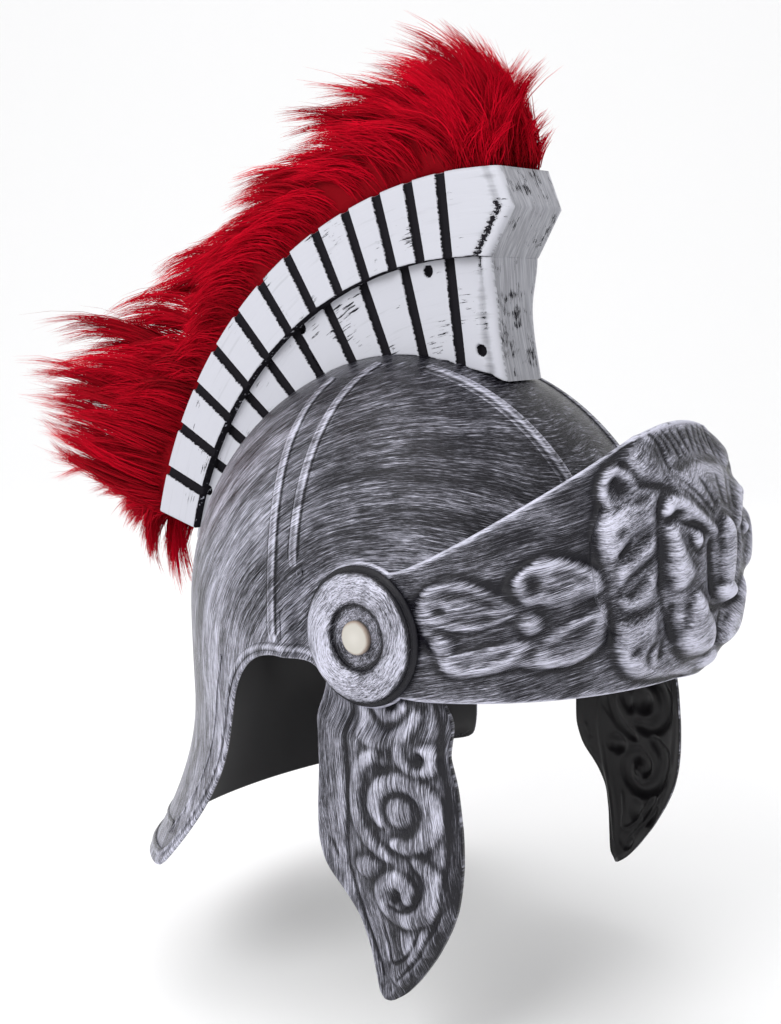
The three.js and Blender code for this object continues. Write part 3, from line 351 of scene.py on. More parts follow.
# Ornament of a cheek guard. Places are (millimetres behind the pivot, millimetres below it).
SCROLLS = [
    ("puff", 7, 0.9, [(5, 26), (4, 46), (3, 64), (1, 84), (-3, 102), (-9, 122), (-14, 138), (-22, 132),
                      (-31, 116), (-36, 102), (-38, 84), (-37, 66), (-34, 46), (-27, 26)]),
    ("roll", 4.4, 2.2, [(2.4, 30), (-2.2, 36.6), (-10, 39.4), (-18, 36.6), (-23.6, 29)]),
    ("roll", 3.7, 2.1, [(-3.6, 27), (-10.6, 31), (-18, 26)]),
    ("roll", 3.0, 2.3, [(-18.6, 39), (-20.6, 45), (-26, 49.4), (-32.2, 47), (-32.6, 41.4), (-28.2, 40.4)]),
    ("lump", (6.8, 7.0), 3.0, [(-20.4, 66.4)]),
    ("roll", 4.8, 2.8, [(-12.4, 71.6), (-9.8, 65), (-11.8, 58.4), (-17.6, 54.6), (-25, 54.4),
                        (-31.6, 58.6), (-34.2, 66), (-32.2, 74), (-26, 79.2), (-18.4, 79.4)]),
    ("roll", 3.8, 2.3, [(-9.6, 43.6), (-3, 50), (-0.6, 60), (-1.4, 71), (-6.6, 80), (-16, 86)]),
    ("lump", (6.2, 5.4), 2.8, [(-6.2, 91.4)]),
    ("roll", 4.6, 2.8, [(-27.6, 84.6), (-33.8, 90), (-34.6, 98), (-30, 106.6), (-22, 110.6),
                        (-14.6, 106.4), (-13.2, 99), (-18.4, 94.4), (-24, 97.4), (-23.6, 102)]),
    ("lump", (5.0, 6.6), 1.9, [(-20.2, 121.4)]),
    ("lump", (4.6, 8.0), 1.9, [(-29.4, 118.6)]),
    ("lump", (5.0, 6.0), 1.6, [(-16.4, 136.4)]),
]
SCROLL_CUTS = [
    ("groove", 1.1, 1.2, [(8.2, 28.6), (5.4, 44), (4.4, 58), (4.6, 82.5), (2.6, 96), (-6.4, 127), (-9, 139)]),
    ("groove", 1.3, 1.2, [(-29.4, 22.6), (-38, 48), (-40.2, 69.3), (-39.6, 86), (-35.6, 106.6),
                          (-27, 124.3), (-16, 139)]),
    ("groove", 1.0, 1.0, [(12.6, 84.6), (9.4, 91)]),
    ("groove", 1.0, 1.0, [(-11.4, 115), (-13, 124), (-14, 132), (-21, 127), (-29, 112)]),
    ("dip", (3.4, 2.6), 1.6, [(-12.4, 26.6)]),
    ("dip", (2.2, 3.4), 1.6, [(-28.4, 44.2)]),
    ("dip", (4.6, 2.6), 1.4, [(-12, 51)]),
    ("dip", (1.4, 1.4), 1.4, [(-18.6, 102.4)]),
    ("groove", 0.8, 1.2, [(-15.6, 105.3), (-21, 107.4), (-26.4, 104), (-28, 97.4), (-25.6, 92)]),
]

# Camera and studio, in metres and degrees. A light is its name, place, width and share of the key.
CAMERA_PLACE = (-0.500, -0.3836, 0.0292)
CAMERA_AZIMUTH = -51
CAMERA_ELEVATION = 9
LIGHT_TARGET = (0, -0.02, -0.02)
LIGHTS = [
    ("key_light", (-1.25, 0.0, 0.95), 0.8, 1.0),
    ("top_light", (0.1, 0.3, 1.7), 1.6, 0.7),
    ("rear_light", (-1.2, 1.0, 0.5), 0.9, 0.45),
    ("front_light", (-0.3, -1.6, 0.5), 0.9, 0.3),
]
FLOOR_COLUMNS = 80
FLOOR_ROWS = 61
FLOOR_NEAR = -2.5
FLOOR_FLAT = 1.6
FLOOR_BEND = 1.2
FLOOR_HALF_WIDTH = 4
FLOOR_WALL = 3.5


def ease(value, start, end):
    """A step from 0 to 1 between start and end, with level ends."""
    share = np.clip((value - start) / (end - start), 0, 1)
    return share * share * (3 - 2 * share)


def mix(low, high, share):
    """The value at a share of the way from low to high."""
    return low + (high - low) * share


def length_along(points):
    """Distance along a line of points from its first one."""
    return np.concatenate([[0], np.cumsum(np.linalg.norm(np.diff(points, axis=0), axis=1))])


def unit(vectors):
    """Vectors along the last axis, made one long."""
    return vectors / np.maximum(np.linalg.norm(vectors, axis=-1, keepdims=True), 1e-9)


def smoothed(field, cells, axes=(0, 1)):
    """A bell-shaped average over so many cells along each axis, with the edge values carried on."""
    reach = int(3 * max(cells)) + 1
    for axis, width in zip(axes, cells):
        if width <= 0:
            continue
        offsets = np.arange(-reach, reach + 1)
        weights = np.exp(-0.5 * (offsets / width) ** 2)
        pad = [(0, 0)] * field.ndim
        pad[axis] = (reach, reach)
        wide = np.pad(field, pad, mode="edge")
        length = field.shape[axis]
        field = sum(
            weight * np.take(wide, np.arange(length) + reach + offset, axis=axis)
            for weight, offset in zip(weights / weights.sum(), offsets)
        )
    return field


def curve_through(points, closed=False, steps=8):
    """A smooth curve through a few points: each span is the cubic whose end slopes are half of the
    step between the neighbours."""
    points = np.asarray(points, float)
    if len(points) == 2:
        return mix(points[0], points[1], np.linspace(0, 1, steps)[:, None])
    if closed:
        around = np.concatenate([points[-1:], points, points[:2]])
    else:
        around = np.concatenate([2 * points[:1] - points[1:2], points, 2 * points[-1:] - points[-2:-1]])
    t = np.linspace(0, 1, steps, endpoint=False)[None, :, None]
    a, b, c, d = (around[k:len(around) - 3 + k, None] for k in range(4))
    spans = 0.5 * (2 * b + (c - a) * t + (2 * a - 5 * b + 4 * c - d) * t**2 + (3 * b - a - 3 * c + d) * t**3)
    curve = spans.reshape(-1, points.shape[1])
    return curve if closed else np.concatenate([curve, points[-1:]])


def distance_to(path, s, h):
    """Distance from each place to a line of short spans, and the share along it of the nearest point."""
    near = np.full(s.shape, 1e9)
    share = np.zeros(s.shape)
    for k in range(len(path) - 1):
        start = path[k]
        step = path[k + 1] - start
        along = ((s - start[0]) * step[0] + (h - start[1]) * step[1]) / max(step @ step, 1e-9)
        along = np.clip(along, 0, 1)
        away = np.hypot(s - start[0] - along * step[0], h - start[1] - along * step[1])
        closer = away < near
        near = np.where(closer, away, near)
        share = np.where(closer, (k + along) / (len(path) - 1), share)
    return near, share


def inside_of(outline, s, h):
    """Whether each place lies inside a closed outline, by how often a level line from it crosses."""
    odd = np.zeros(s.shape, bool)
    for (s0, h0), (s1, h1) in zip(outline, np.roll(outline, -1, axis=0)):
        crosses = (h0 > h) != (h1 > h)
        where = s0 + (h - h0) * (s1 - s0) / (h1 - h0 + 1e-12)
        odd ^= crosses & (s < where)
    return odd


def ornament(forms, s, h, place):
    """Height of carved forms over a grid: the highest of them where they overlap. A puff rises over
    its shoulder as a quarter circle, a roll and a lump have round sections, and grooves and dips use
    the same sections for their depth."""
    height = np.zeros(s.shape)
    for kind, width, rise, points in forms:
        path = place(np.asarray(points, float))
        span = np.max(width) + 1
        if kind == "puff":
            path = curve_through(path, closed=True)
        elif kind in ("roll", "groove"):
            path = curve_through(path)
        low, high = path.min(0) - span, path.max(0) + span
        near = (s > low[0]) & (s < high[0]) & (h > low[1]) & (h < high[1])
        if not near.any():
            continue
        sn, hn = s[near], h[near]
        if kind in ("lump", "dip"):
            out = ((sn - path[0, 0]) / width[0]) ** 2 + ((hn - path[0, 1]) / width[1]) ** 2
            value = rise * np.sqrt(np.maximum(1 - out, 0)) if kind == "lump" else rise * np.exp(-1.4 * out)
        elif kind == "puff":
            away, _ = distance_to(np.concatenate([path, path[:1]]), sn, hn)
            depth = np.where(inside_of(path, sn, hn), np.clip(away / width, 0, 1), 0)
            value = rise * np.sqrt(1 - (1 - depth) ** 2)
        else:
            away, share = distance_to(path, sn, hn)
            ends = 0.55 + 0.45 * np.sqrt(np.clip(1 - (2 * share - 1) ** 4, 0, 1))
            across = np.clip(away / (width * ends), 0, 1)
            value = rise * np.sqrt(1 - across**2) if kind == "roll" else rise * (1 - across**2) ** 1.5 * ends
        height[near] = np.maximum(height[near], value)
    return height


def painted(relief, raised, hollow):
    """How a dry brush takes raised and sunken places: a little more on the first, little on the last.
    On the visor the same sums also stand for painted light on raised forms and painted shade in
    hollows and creases.
    """
    return np.where(relief > 0, raised * relief, hollow * relief)


def grid_faces(columns, rows, loop_columns=False, loop_rows=False):
    """Four-cornered faces of a grid of points that are stored column by column."""
    i = np.arange(columns if loop_columns else columns - 1)[:, None]
    j = np.arange(rows if loop_rows else rows - 1)[None, :]
    here, over = i * rows, ((i + 1) % columns) * rows
    down = (j + 1) % rows
    return np.stack([here + j, here + down, over + down, over + j], -1).reshape(-1, 4)


def end_caps(columns, rows):
    """Faces that close both ends of a tube by joining each row to its partner across the ring."""
    k = np.arange(rows // 2 - 1)
    first = np.stack([k, k + 1, rows - 2 - k, rows - 1 - k], -1)[:, ::-1]
    last = (columns - 1) * rows + first[:, ::-1]
    return np.concatenate([first, last])


def outward(points, faces):
    """The faces turned so that the closed body has a positive volume."""
    corners = points[faces]
    volume = 0.0
    for b, c in ((1, 2), (2, 3)):
        volume += np.einsum("ij,ij->", corners[:, 0], np.cross(corners[:, b], corners[:, c]))
    return faces if volume > 0 else faces[:, ::-1]


def towards(points, faces, direction):
    """The faces of an open patch turned so that they look along a direction."""
    corners = points[faces]
    normal = np.cross(corners[:, 2] - corners[:, 0], corners[:, 3] - corners[:, 1]).sum(0)
    return faces[:, ::-1] if normal @ direction < 0 else faces


class Body:
    """Surfaces collected for one piece, with point values for its materials."""

    def __init__(self):
        self.parts = []
        self.count = 0

    def add(self, points, faces, strokes=None, wear_and_shade=None, tone_and_shade=None, material=0):
        """Adds a closed surface, its faces turned outwards."""
        points = np.asarray(points, float).reshape(-1, 3)
        self.add_turned(points, outward(points, faces), strokes, wear_and_shade, tone_and_shade, material)

    def add_turned(self, points, faces, strokes=None, wear_and_shade=None, tone_and_shade=None, material=0):
        """Adds a surface whose faces already look the right way. Strokes are the paint directions in
        millimetres, the wear value is 0 in hollows and 1 on raised edges, from the dry brush and in
        places as painted light and shade, and the tone value lightens or darkens the paint, in places
        as painted shade and light."""
        total = len(points)
        strokes = np.zeros((total, 3)) if strokes is None else np.asarray(strokes, float).reshape(-1, 3)
        wear_and_shade = np.full(total, 0.5) if wear_and_shade is None else np.broadcast_to(np.ravel(wear_and_shade), total)
        tone_and_shade = np.full(total, 0.5) if tone_and_shade is None else np.broadcast_to(np.ravel(tone_and_shade), total)
        material = np.broadcast_to(material, len(faces))
        self.parts.append((points, faces + self.count, strokes, wear_and_shade, tone_and_shade, material))
        self.count += total

    def make(self, name, materials, smooth=True):
        """The mesh object, in metres, with double points merged."""
        points, faces, strokes, wear_and_shade, tone_and_shade, material = (
            np.concatenate([part[k] for part in self.parts]) for k in range(6)
        )
        mesh = bpy.data.meshes.new(name)
        mesh.vertices.add(len(points))
        mesh.vertices.foreach_set("co", (points * MM).astype(np.float32).ravel())
        mesh.loops.add(faces.size)
        mesh.loops.foreach_set("vertex_index", faces.astype(np.int32).ravel())
        mesh.polygons.add(len(faces))
        mesh.polygons.foreach_set("loop_start", np.arange(0, faces.size, 4, dtype=np.int32))
        mesh.polygons.foreach_set("material_index", material.astype(np.int32))
        mesh.polygons.foreach_set("use_smooth", np.full(len(faces), smooth))
        mesh.update(calc_edges=True)
        stored = mesh.attributes.new("strokes", "FLOAT_VECTOR", "POINT")
        stored.data.foreach_set("vector", strokes.astype(np.float32).ravel())
        for label, values in (("wear_and_shade", wear_and_shade), ("tone_and_shade", tone_and_shade)):
            stored = mesh.attributes.new(label, "FLOAT", "POINT")
            stored.data.foreach_set("value", values.astype(np.float32))
        edit = bmesh.new()
        edit.from_mesh(mesh)
        bmesh.ops.remove_doubles(edit, verts=edit.verts, dist=2e-6)
        edit.to_mesh(mesh)
        edit.free()
        for finish in materials:
            mesh.materials.append(finish)
        piece = bpy.data.objects.new(name, mesh)
        bpy.context.scene.collection.objects.link(piece)
        return piece


def place_piece(piece, body, node):
    """Hangs a finished piece on its body, in the place of its solid."""
    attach(piece, body)
    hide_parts(node)


def neck_rim_z(turn):
    """Height of the neck rim at a turn: it sinks in proportion to the distance behind its corner."""
    corner_y = ARCH_CENTRE_Y + ARCH_HALF_WIDTH + ARCH_FOOT_REACH
    return NECK_RIM_HEIGHT - NECK_DROOP * (NECK_RIM_LENGTH / 2 * np.sin(np.radians(turn)) - corner_y)


def skull_point(turn, depth, inset=0.0, side=1.0):
    """A place on the skull: half an ellipsoid down to depth 90, in degrees, and below it an
    elliptical wall, a millimetre for each unit, which flares out as a power of the height above the
    neck rim. Round each pivot the wall is pressed flat."""
    angle = np.radians(turn)
    polar = np.radians(np.minimum(depth, 90))
    below = np.maximum(depth - 90, 0)
    taper = WALL_TAPER * ease(below, 0, WALL_TAPER_DEPTH)
    z = CENTRE_Z + (DOME_HEIGHT - inset) * np.cos(polar) - below
    flare = np.clip((neck_rim_z(turn) + FLARE_DEPTH - z) / FLARE_DEPTH, 0, 1) ** FLARE_POWER
    half_width = mix(SKULL_WIDTH / 2 - taper, NECK_RIM_WIDTH / 2, flare) - inset
    half_length = mix(SKULL_LENGTH / 2 - taper, NECK_RIM_LENGTH / 2, flare) - inset
    y = half_length * np.sin(polar) * np.sin(angle)
    across = half_width * np.sin(polar) * np.cos(angle)
    reach = np.hypot(y - HINGE_Y, z - HINGE_Z)
    seat = SEAT_HALF - inset + SEAT_RELEASE * ease(reach, SEAT_RADIUS, SEAT_RADIUS + SEAT_BLEND)
    x = np.where(reach < SEAT_RADIUS + SEAT_BLEND, np.minimum(across, seat), across)
    return np.stack([side * x, y, z], -1)


def depth_at(z):
    """The depth of a height: the ellipsoid's polar angle in degrees above its middle, and 90 and a
    unit for each millimetre below it."""
    polar = np.degrees(np.arccos(np.clip((z - CENTRE_Z) / DOME_HEIGHT, -1, 1)))
    return np.where(z < CENTRE_Z, 90 + CENTRE_Z - z, polar)


def turn_at(y, depth):
    """The turn at which the skull passes a place on Y, closed in on by a few repeats."""
    turn = np.degrees(np.arcsin(np.clip(y / (SKULL_LENGTH / 2), -1, 1)))
    for _ in range(10):
        sine = np.sin(np.radians(np.where(np.abs(turn) < 1e-4, 1e-4, turn)))
        reach = np.abs(skull_point(turn, depth)[..., 1] / sine)
        turn = np.degrees(np.arcsin(np.clip(y / np.maximum(reach, 1), -1, 1)))
    return turn


def skull_rim(count):
    """Turn and depth at even steps along the rim, from the middle of the brow round one side to the
    middle of the neck guard. Straight runs, the arch's superellipse and the neck rim are strung
    together and the corners rounded by an average along the line."""
    brow_turn = np.linspace(-90, -35, 60)
    brow = np.stack([brow_turn, np.full(60, BROW_HEIGHT)], -1)
    angle = np.linspace(0.25, 1, 90) * np.pi
    c, s = np.cos(angle), np.sin(angle)
    arch = np.stack([
        ARCH_CENTRE_Y - np.sign(c) * ARCH_HALF_WIDTH * np.abs(c) ** (2 / ARCH_POWER),
        ARCH_SPRING_HEIGHT + ARCH_RISE * np.abs(s) ** (2 / ARCH_POWER),
    ], -1)
    share = np.linspace(0, 1, 50)[1:]
    rear = np.stack([
        ARCH_CENTRE_Y + ARCH_HALF_WIDTH + ARCH_FOOT_REACH * share**2,
        mix(ARCH_SPRING_HEIGHT, NECK_RIM_HEIGHT, share),
    ], -1)
    tab = curve_through([
        (BROW_CORNER_Y - 6, BROW_HEIGHT), (BROW_CORNER_Y, BROW_HEIGHT - 1),
        ((BROW_CORNER_Y + TAB_Y) / 2, (BROW_HEIGHT + TAB_HEIGHT) / 2 - 3), (TAB_Y, TAB_HEIGHT),
        (mix(TAB_Y, arch[0, 0], 0.5), TAB_HEIGHT - 1),
    ])
    side = np.concatenate([tab, arch, rear])
    side[:, 0] = turn_at(side[:, 0], depth_at(side[:, 1]))
    neck_turn = np.linspace(side[-1, 0], 90, 80)[1:]
    neck = np.stack([neck_turn, neck_rim_z(neck_turn)], -1)
    chain = np.concatenate([brow, side, neck])
    length = length_along(chain * [DEGREE_ON_WALL, 1.0])
    even = np.arange(0, length[-1], 0.5)
    chain = np.stack([np.interp(even, length, chain[:, k]) for k in range(2)], -1)
    ends = chain[[0, -1]].copy()
    chain = smoothed(chain, (6,), (0,))
    chain[0], chain[-1] = ends
    depth = depth_at(chain[:, 1])
    points = skull_point(chain[:, 0], depth)
    length = length_along(points)
    even = np.linspace(0, length[-1], count)
    return np.interp(even, length, chain[:, 0]), np.interp(even, length, depth)


def skull_strokes(points):
    """Paint directions on the skull: arcs about a point low on each temple, as a hand sweeps the brush
    from the nape over the side to the brow."""
    x, y, z = np.moveaxis(points, -1, 0)
    back, up = y + 45, z + 140
    around = 100 * np.arctan2(back, up + 40)
    reach = np.hypot(back, up)
    return np.stack([around, reach + 0.1 * np.abs(x), x], -1)


def along_surface(turn, depth, across, heights):
    """Rows of points beside a line on the skull, set off sideways and outwards."""
    centre = skull_point(turn, depth)
    heading = unit(np.gradient(centre, axis=0))
    normal = unit(centre - skull_point(turn, depth, inset=1.0))
    sideways = unit(np.cross(heading, normal))
    return (
        centre[:, None]
        + sideways[:, None] * np.asarray(across)[None, :, None]
        + normal[:, None] * np.atleast_2d(heights)[..., None]
    )


def strip(body, rows, sunk, wear_and_shade, mirror):
    """A raised strip closed underneath by the same rows sunk into the wall."""
    top = rows * [mirror, 1, 1]
    low = sunk * [mirror, 1, 1]
    ring = np.concatenate([top, low[:, ::-1]], axis=1)
    columns, count = ring.shape[:2]
    faces = np.concatenate([grid_faces(columns, count, loop_rows=True), end_caps(columns, count)])
    values = np.concatenate([wear_and_shade, np.full(len(wear_and_shade), 0.3)])
    body.add(ring, faces, skull_strokes(ring), np.tile(values, columns))


def ridge_lines():
    """Turn and depth along the three ridges on one side of the dome."""
    share = np.linspace(0, 1, RIDGE_POINTS)
    rear = mix(3.0, 26.0, (1 - share) ** 1.9), mix(26.0, 91.0, share)
    middle = mix(-1.4, 9.0, 1 - share), mix(17.0, 75.0, share)
    depth = mix(18.0, 74.0, share)
    reach = SKULL_WIDTH / 2 * np.sin(np.radians(depth))
    front = -np.degrees(np.arccos(np.clip(25.0 / reach, -1, 1))), depth
    return [rear, middle, front]


def make_skull(settings, finishes):
    """The skull is a grid from the crown down to each point of the rim, over a rounded lip and up
    inside to the crown again. Its ridges and the beads along its rim are strips laid on it."""
    body = Body()
    turn, depth = skull_rim(RIM_POINTS)
    far = RIM_POINTS - 2
    columns = np.concatenate([np.arange(RIM_POINTS), np.arange(far, 0, -1)])
    side = np.concatenate([np.full(RIM_POINTS, -1.0), np.full(far, 1.0)])[:, None]
    turns, depths = turn[columns][:, None], depth[columns][:, None]
    outer_share = np.linspace(0, 1, SKULL_ROWS)[None, :]
    inner_share = np.linspace(1, 0, SKULL_INNER_ROWS)[None, :]
    outer = skull_point(turns, depths * outer_share, 0.0, side)
    inner = skull_point(turns, depths * inner_share, SKULL_WALL, side)
    edge, back = outer[:, -1], inner[:, 0]
    along = unit(np.roll(edge, -1, 0) - np.roll(edge, 1, 0))
    away = unit(np.cross(along, edge - back))
    away *= np.sign(away[0, 2]) * -1
    middle, half = (edge + back) / 2, (edge - back) / 2
    reach = np.linalg.norm(half, axis=1, keepdims=True)
    lip = np.stack([middle + half * math.cos(t) + away * reach * math.sin(t) for t in SKULL_LIP_TURNS], 1)
    points = np.concatenate([outer, lip, inner], axis=1)
    rows = points.shape[1]
    wear_and_shade = np.full(points.shape[:2], 0.5)
    wear_and_shade[:, SKULL_ROWS:SKULL_ROWS + 5] = 0.62
    material = np.tile(np.where(np.arange(rows - 1) < SKULL_ROWS + 3, 0, 1), len(columns))
    # Painted light and shade: the dome is painted darker towards its top and front and lighter towards its
    # rear.
    tone_and_shade = 0.5 - 0.24 * ease(points[..., 2], -80, -10) + 0.16 * ease(points[..., 1], -10, 70)
    tone_and_shade = tone_and_shade - 0.1 * ease(-points[..., 1], 30, 100)
    body.add(points, grid_faces(len(columns), rows, loop_columns=True), skull_strokes(points),
             wear_and_shade, tone_and_shade, material)
    for mirror in (-1, 1):
        for line_turn, line_depth in ridge_lines():
            faded = ease(np.linspace(1, 0, RIDGE_POINTS), 0, 0.08)[:, None]
            rise = settings.ridge_rise / MM * RIDGE_SECTION * faded - 0.5 * (1 - faded)
            rows = along_surface(line_turn, line_depth, RIDGE_ACROSS, rise)
            sunk = along_surface(line_turn, line_depth, RIDGE_ACROSS, np.full(13, RIDGE_SUNK))
            strip(body, rows, sunk, RIDGE_WEAR_AND_SHADING, mirror)
        start = int(np.argmax(turn > turn_at(TAB_Y, depth_at(TAB_HEIGHT))))
        for offset, width, lift, later in BEADS:
            first = start + later
            target = (edge[first:RIM_POINTS] - offset * away[first:RIM_POINTS]) * [-1, 1, 1]
            rim_turn = turn[first:]
            line_depth = depth_at(target[:, 2])
            line_turn = np.where(rim_turn < BEAD_SIDE_TURN, turn_at(target[:, 1], line_depth), rim_turn)
            line_turn = smoothed(line_turn, (2,), (0,))
            across = BEAD_ACROSS * width
            rows = along_surface(line_turn, line_depth, across, BEAD_SECTION * lift)
            sunk = along_surface(line_turn, line_depth, across, np.full(9, BEAD_SUNK))
            strip(body, rows, sunk, BEAD_WEAR_AND_SHADING, mirror)
    piece = body.make("skull_shell", [finishes["brushed"], finishes["inside"]])
    place_piece(piece, "helmet", "skull")


def visor_half(ahead, inset):
    """Half width of the visor at a distance ahead of the pivots: an ellipse, cut flat at the temples
    with a rounded meeting."""
    share = np.clip(ahead / (VISOR_REACH - inset), -1, 1)
    oval = (VISOR_HALF_WIDTH - inset) * np.sqrt(np.maximum(1 - share**2, 0))
    flat = VISOR_OUTER_FLAT - inset
    t = np.clip(0.5 + (oval - flat) / 2.4, 0, 1)
    rounded = mix(oval, flat, t) - 1.2 * t * (1 - t)
    return np.where(ahead > 0, rounded, flat)


def visor_top(ahead):
    """Height of the visor's top edge: a circle round the pivot, then a power of the distance ahead."""
    start = math.sqrt(VISOR_END_RADIUS**2 - VISOR_TOP_START**2)
    share = np.clip((ahead - VISOR_TOP_START) / (VISOR_REACH - VISOR_TOP_START), 0, 1)
    rise = start + (VISOR_TOP_FRONT - start) * share**VISOR_TOP_POWER
    return np.where(ahead < VISOR_TOP_START, np.sqrt(np.maximum(VISOR_END_RADIUS**2 - ahead**2, 0)), rise)


def visor_bottom(ahead):
    """Height of the visor's bottom edge: a circle round the pivot, then a straight line forward."""
    oval = -np.sqrt(np.maximum(VISOR_END_RADIUS**2 - ahead**2, 0))
    straight = mix(VISOR_BOTTOM_SIDE, VISOR_BOTTOM_FRONT, np.clip(ahead / VISOR_REACH, 0, 1))
    limit = math.sqrt(VISOR_END_RADIUS**2 - VISOR_BOTTOM_SIDE**2)
    return np.where(ahead < limit, oval, straight)


def mask_swell(angle, height):
    """Broad dome of the mask over an oval, with a steep edge."""
    up = (height - MASK_CENTRE_Z) / MASK_HALF_HEIGHT
    within = np.maximum(1 - (angle / MASK_HALF_ANGLE) ** 2 - up**2, 0)
    return 0.42 * within**0.4 + 0.58 * within**1.3


def visor_columns():
    """Plan angles of the visor's columns, close together on the mask. Past 90 degrees the angle
    stands for the round end behind the pivot."""
    ends = -90 - VISOR_END_TURN * np.sin(np.linspace(np.pi / 2, 0, 26))
    side = np.linspace(-90, -35, 120)[1:]
    front = np.linspace(-35, 0, 106)[1:]
    half = np.concatenate([ends, side, front])
    return np.concatenate([half, -half[-2::-1]])


def make_visor(settings, finishes):
    """The visor is a wall over an ellipse in plan, between its bottom and top edges. The mask's oval
    swell and the carved forms push it outwards, and its crown leans back. The inside follows the
    swell alone, and rounded lips join both."""
    angle = visor_columns()
    over = np.maximum(np.abs(angle) - 90, 0)
    ahead = np.where(over > 0, -over * VISOR_END_RADIUS / VISOR_END_TURN,
                     VISOR_REACH * np.cos(np.radians(angle)))
    plan = np.stack([np.sign(angle) * visor_half(ahead, 0), -ahead], -1)
    length = length_along(plan)
    length -= length[len(length) // 2]
    share = np.linspace(0, 1, VISOR_ROWS)
    low, high = visor_bottom(ahead)[:, None], visor_top(ahead)[:, None]
    height = mix(low, high, share[None, :])
    around = np.broadcast_to(np.abs(angle)[:, None], height.shape)
    s = np.broadcast_to(np.abs(length)[:, None], height.shape)

    def place(points):
        """Degrees and heights of the tables to distances along the visor."""
        along = np.interp(points[:, 0], angle[angle >= 0], length[angle >= 0])
        below = points[:, 0] * length[-1] / 90
        return np.stack([np.where(points[:, 0] < 0, below, along), points[:, 1]], -1)

    swell = MASK_RISE * mask_swell(around, height)
    carved = ornament(LION, s, height, place) - 1.25 * ornament(LION_CUTS, s, height, place)
    leaves = ornament(LEAVES, s, height, place) - ornament(LEAF_CUTS, s, height, place)
    relief = settings.mask_relief * carved + settings.leaf_relief * leaves
    relief = smoothed(relief, (1.9, 1.3))
    broad = settings.mask_base * swell
    lean = CROWN_LEAN * ease(height, 0.45 * VISOR_TOP_FRONT, 1.1 * VISOR_TOP_FRONT)
    lean = lean * ease(CROWN_LEAN_ANGLE - around, 0, CROWN_LEAN_ANGLE)
    outwards = np.stack([np.sin(np.radians(angle)), -np.cos(np.radians(angle)), 0 * angle], -1)

    def face(inset, raised, heights):
        """One side of the wall, so far inside the outer one and raised from there."""
        behind = np.where(ahead > 0, ahead * (1 - inset / VISOR_REACH), ahead)
        x = np.sign(angle) * visor_half(behind, inset)
        y = HINGE_Y - behind
        flat = np.stack(np.broadcast_arrays(x[:, None], y[:, None], HINGE_Z + heights), -1)
        return flat + outwards[:, None] * raised[..., None]

    outer = face(0.0, broad + relief - lean, height)
    inner_rows = np.linspace(VISOR_ROWS - 1, 0, VISOR_INNER_ROWS).astype(int)
    inner = face(VISOR_WALL, (0.8 * swell - lean)[:, inner_rows], height[:, inner_rows])

    def lip(first, second, direction):
        """Rows of half an ellipse from one side of the wall to the other."""
        middle, half = (first + second) / 2, (first - second) / 2
        reach = 0.5 * VISOR_WALL * np.sqrt(np.clip((high - low) / 20, 0, 1))
        up = np.array([0, 0, direction])
        return np.stack([middle + half * math.cos(t) + up * reach * math.sin(t)
                         for t in VISOR_LIP_TURNS], 1)

    points = np.concatenate([outer, lip(outer[:, -1], inner[:, 0], 1.0), inner,
                             lip(outer[:, 0], inner[:, -1], -1.0)[:, ::-1]], axis=1)
    columns, rows = points.shape[:2]
    # The relief is shaded in two ways at once: dry brushing that leaves hollows and creases black, and
    # painted light on raised forms with painted shade in hollows and creases. The tone values below are also
    # lighter on raised forms and on the mask.
    wide = relief - smoothed(relief, (8.0, 6.0))
    cavity = relief - smoothed(relief, (2.6, 2.4))
    masked = swell > 0
    fine = relief - smoothed(relief, (1.3, 1.2))
    on_mask = painted(wide, 0.08, 0.05) + painted(cavity, 0.12, 0.13)
    beside = painted(wide, 0.08, 0.04) + painted(cavity, 0.12, 0.12)
    shade = np.where(masked, on_mask, beside) + painted(fine, 0.3, 1.4)
    edging = 0.22 * ease(share, 0.965, 1.0) + 0.16 * ease(1 - share, 0.97, 1.0)
    wear_and_shade = np.full((columns, rows), 0.8)
    wear_and_shade[:, :VISOR_ROWS] = np.clip(0.5 + shade + edging, 0, 1)
    tone_and_shade = np.full((columns, rows), 0.6)
    tone_and_shade[:, :VISOR_ROWS] = mix(0.36, 0.5, ease(relief, 0.2, 3.0)) + 0.08 * masked
    strokes = np.zeros((columns, rows, 3))
    strokes[..., 0] = length[:, None]
    strokes[..., 1] = points[..., 2] + 0.26 * np.abs(length)[:, None]
    front = strokes[:, :VISOR_ROWS]
    front[..., 1] += 0.3 * relief
    front[..., 2] = 0.8 * relief
    slanted = np.stack([0.88 * s - 0.47 * height, 0.47 * s + 0.88 * height + 0.4 * relief,
                        0.8 * relief], -1)
    front[:] = np.where(masked[..., None], slanted, front)
    material = np.zeros((columns - 1, rows), int)
    material[:, :VISOR_ROWS - 1] = 2 * masked[:-1, :-1]
    inside = VISOR_ROWS + len(VISOR_LIP_TURNS) - 1
    material[:, inside:inside + VISOR_INNER_ROWS + 1] = 1
    body = Body()
    body.add(points, grid_faces(columns, rows, loop_rows=True), strokes, wear_and_shade, tone_and_shade, material.ravel())
    piece = body.make("visor_mask", [finishes["brushed"], finishes["inside"], finishes["mask"]])
    place_piece(piece, "visor", "visor")


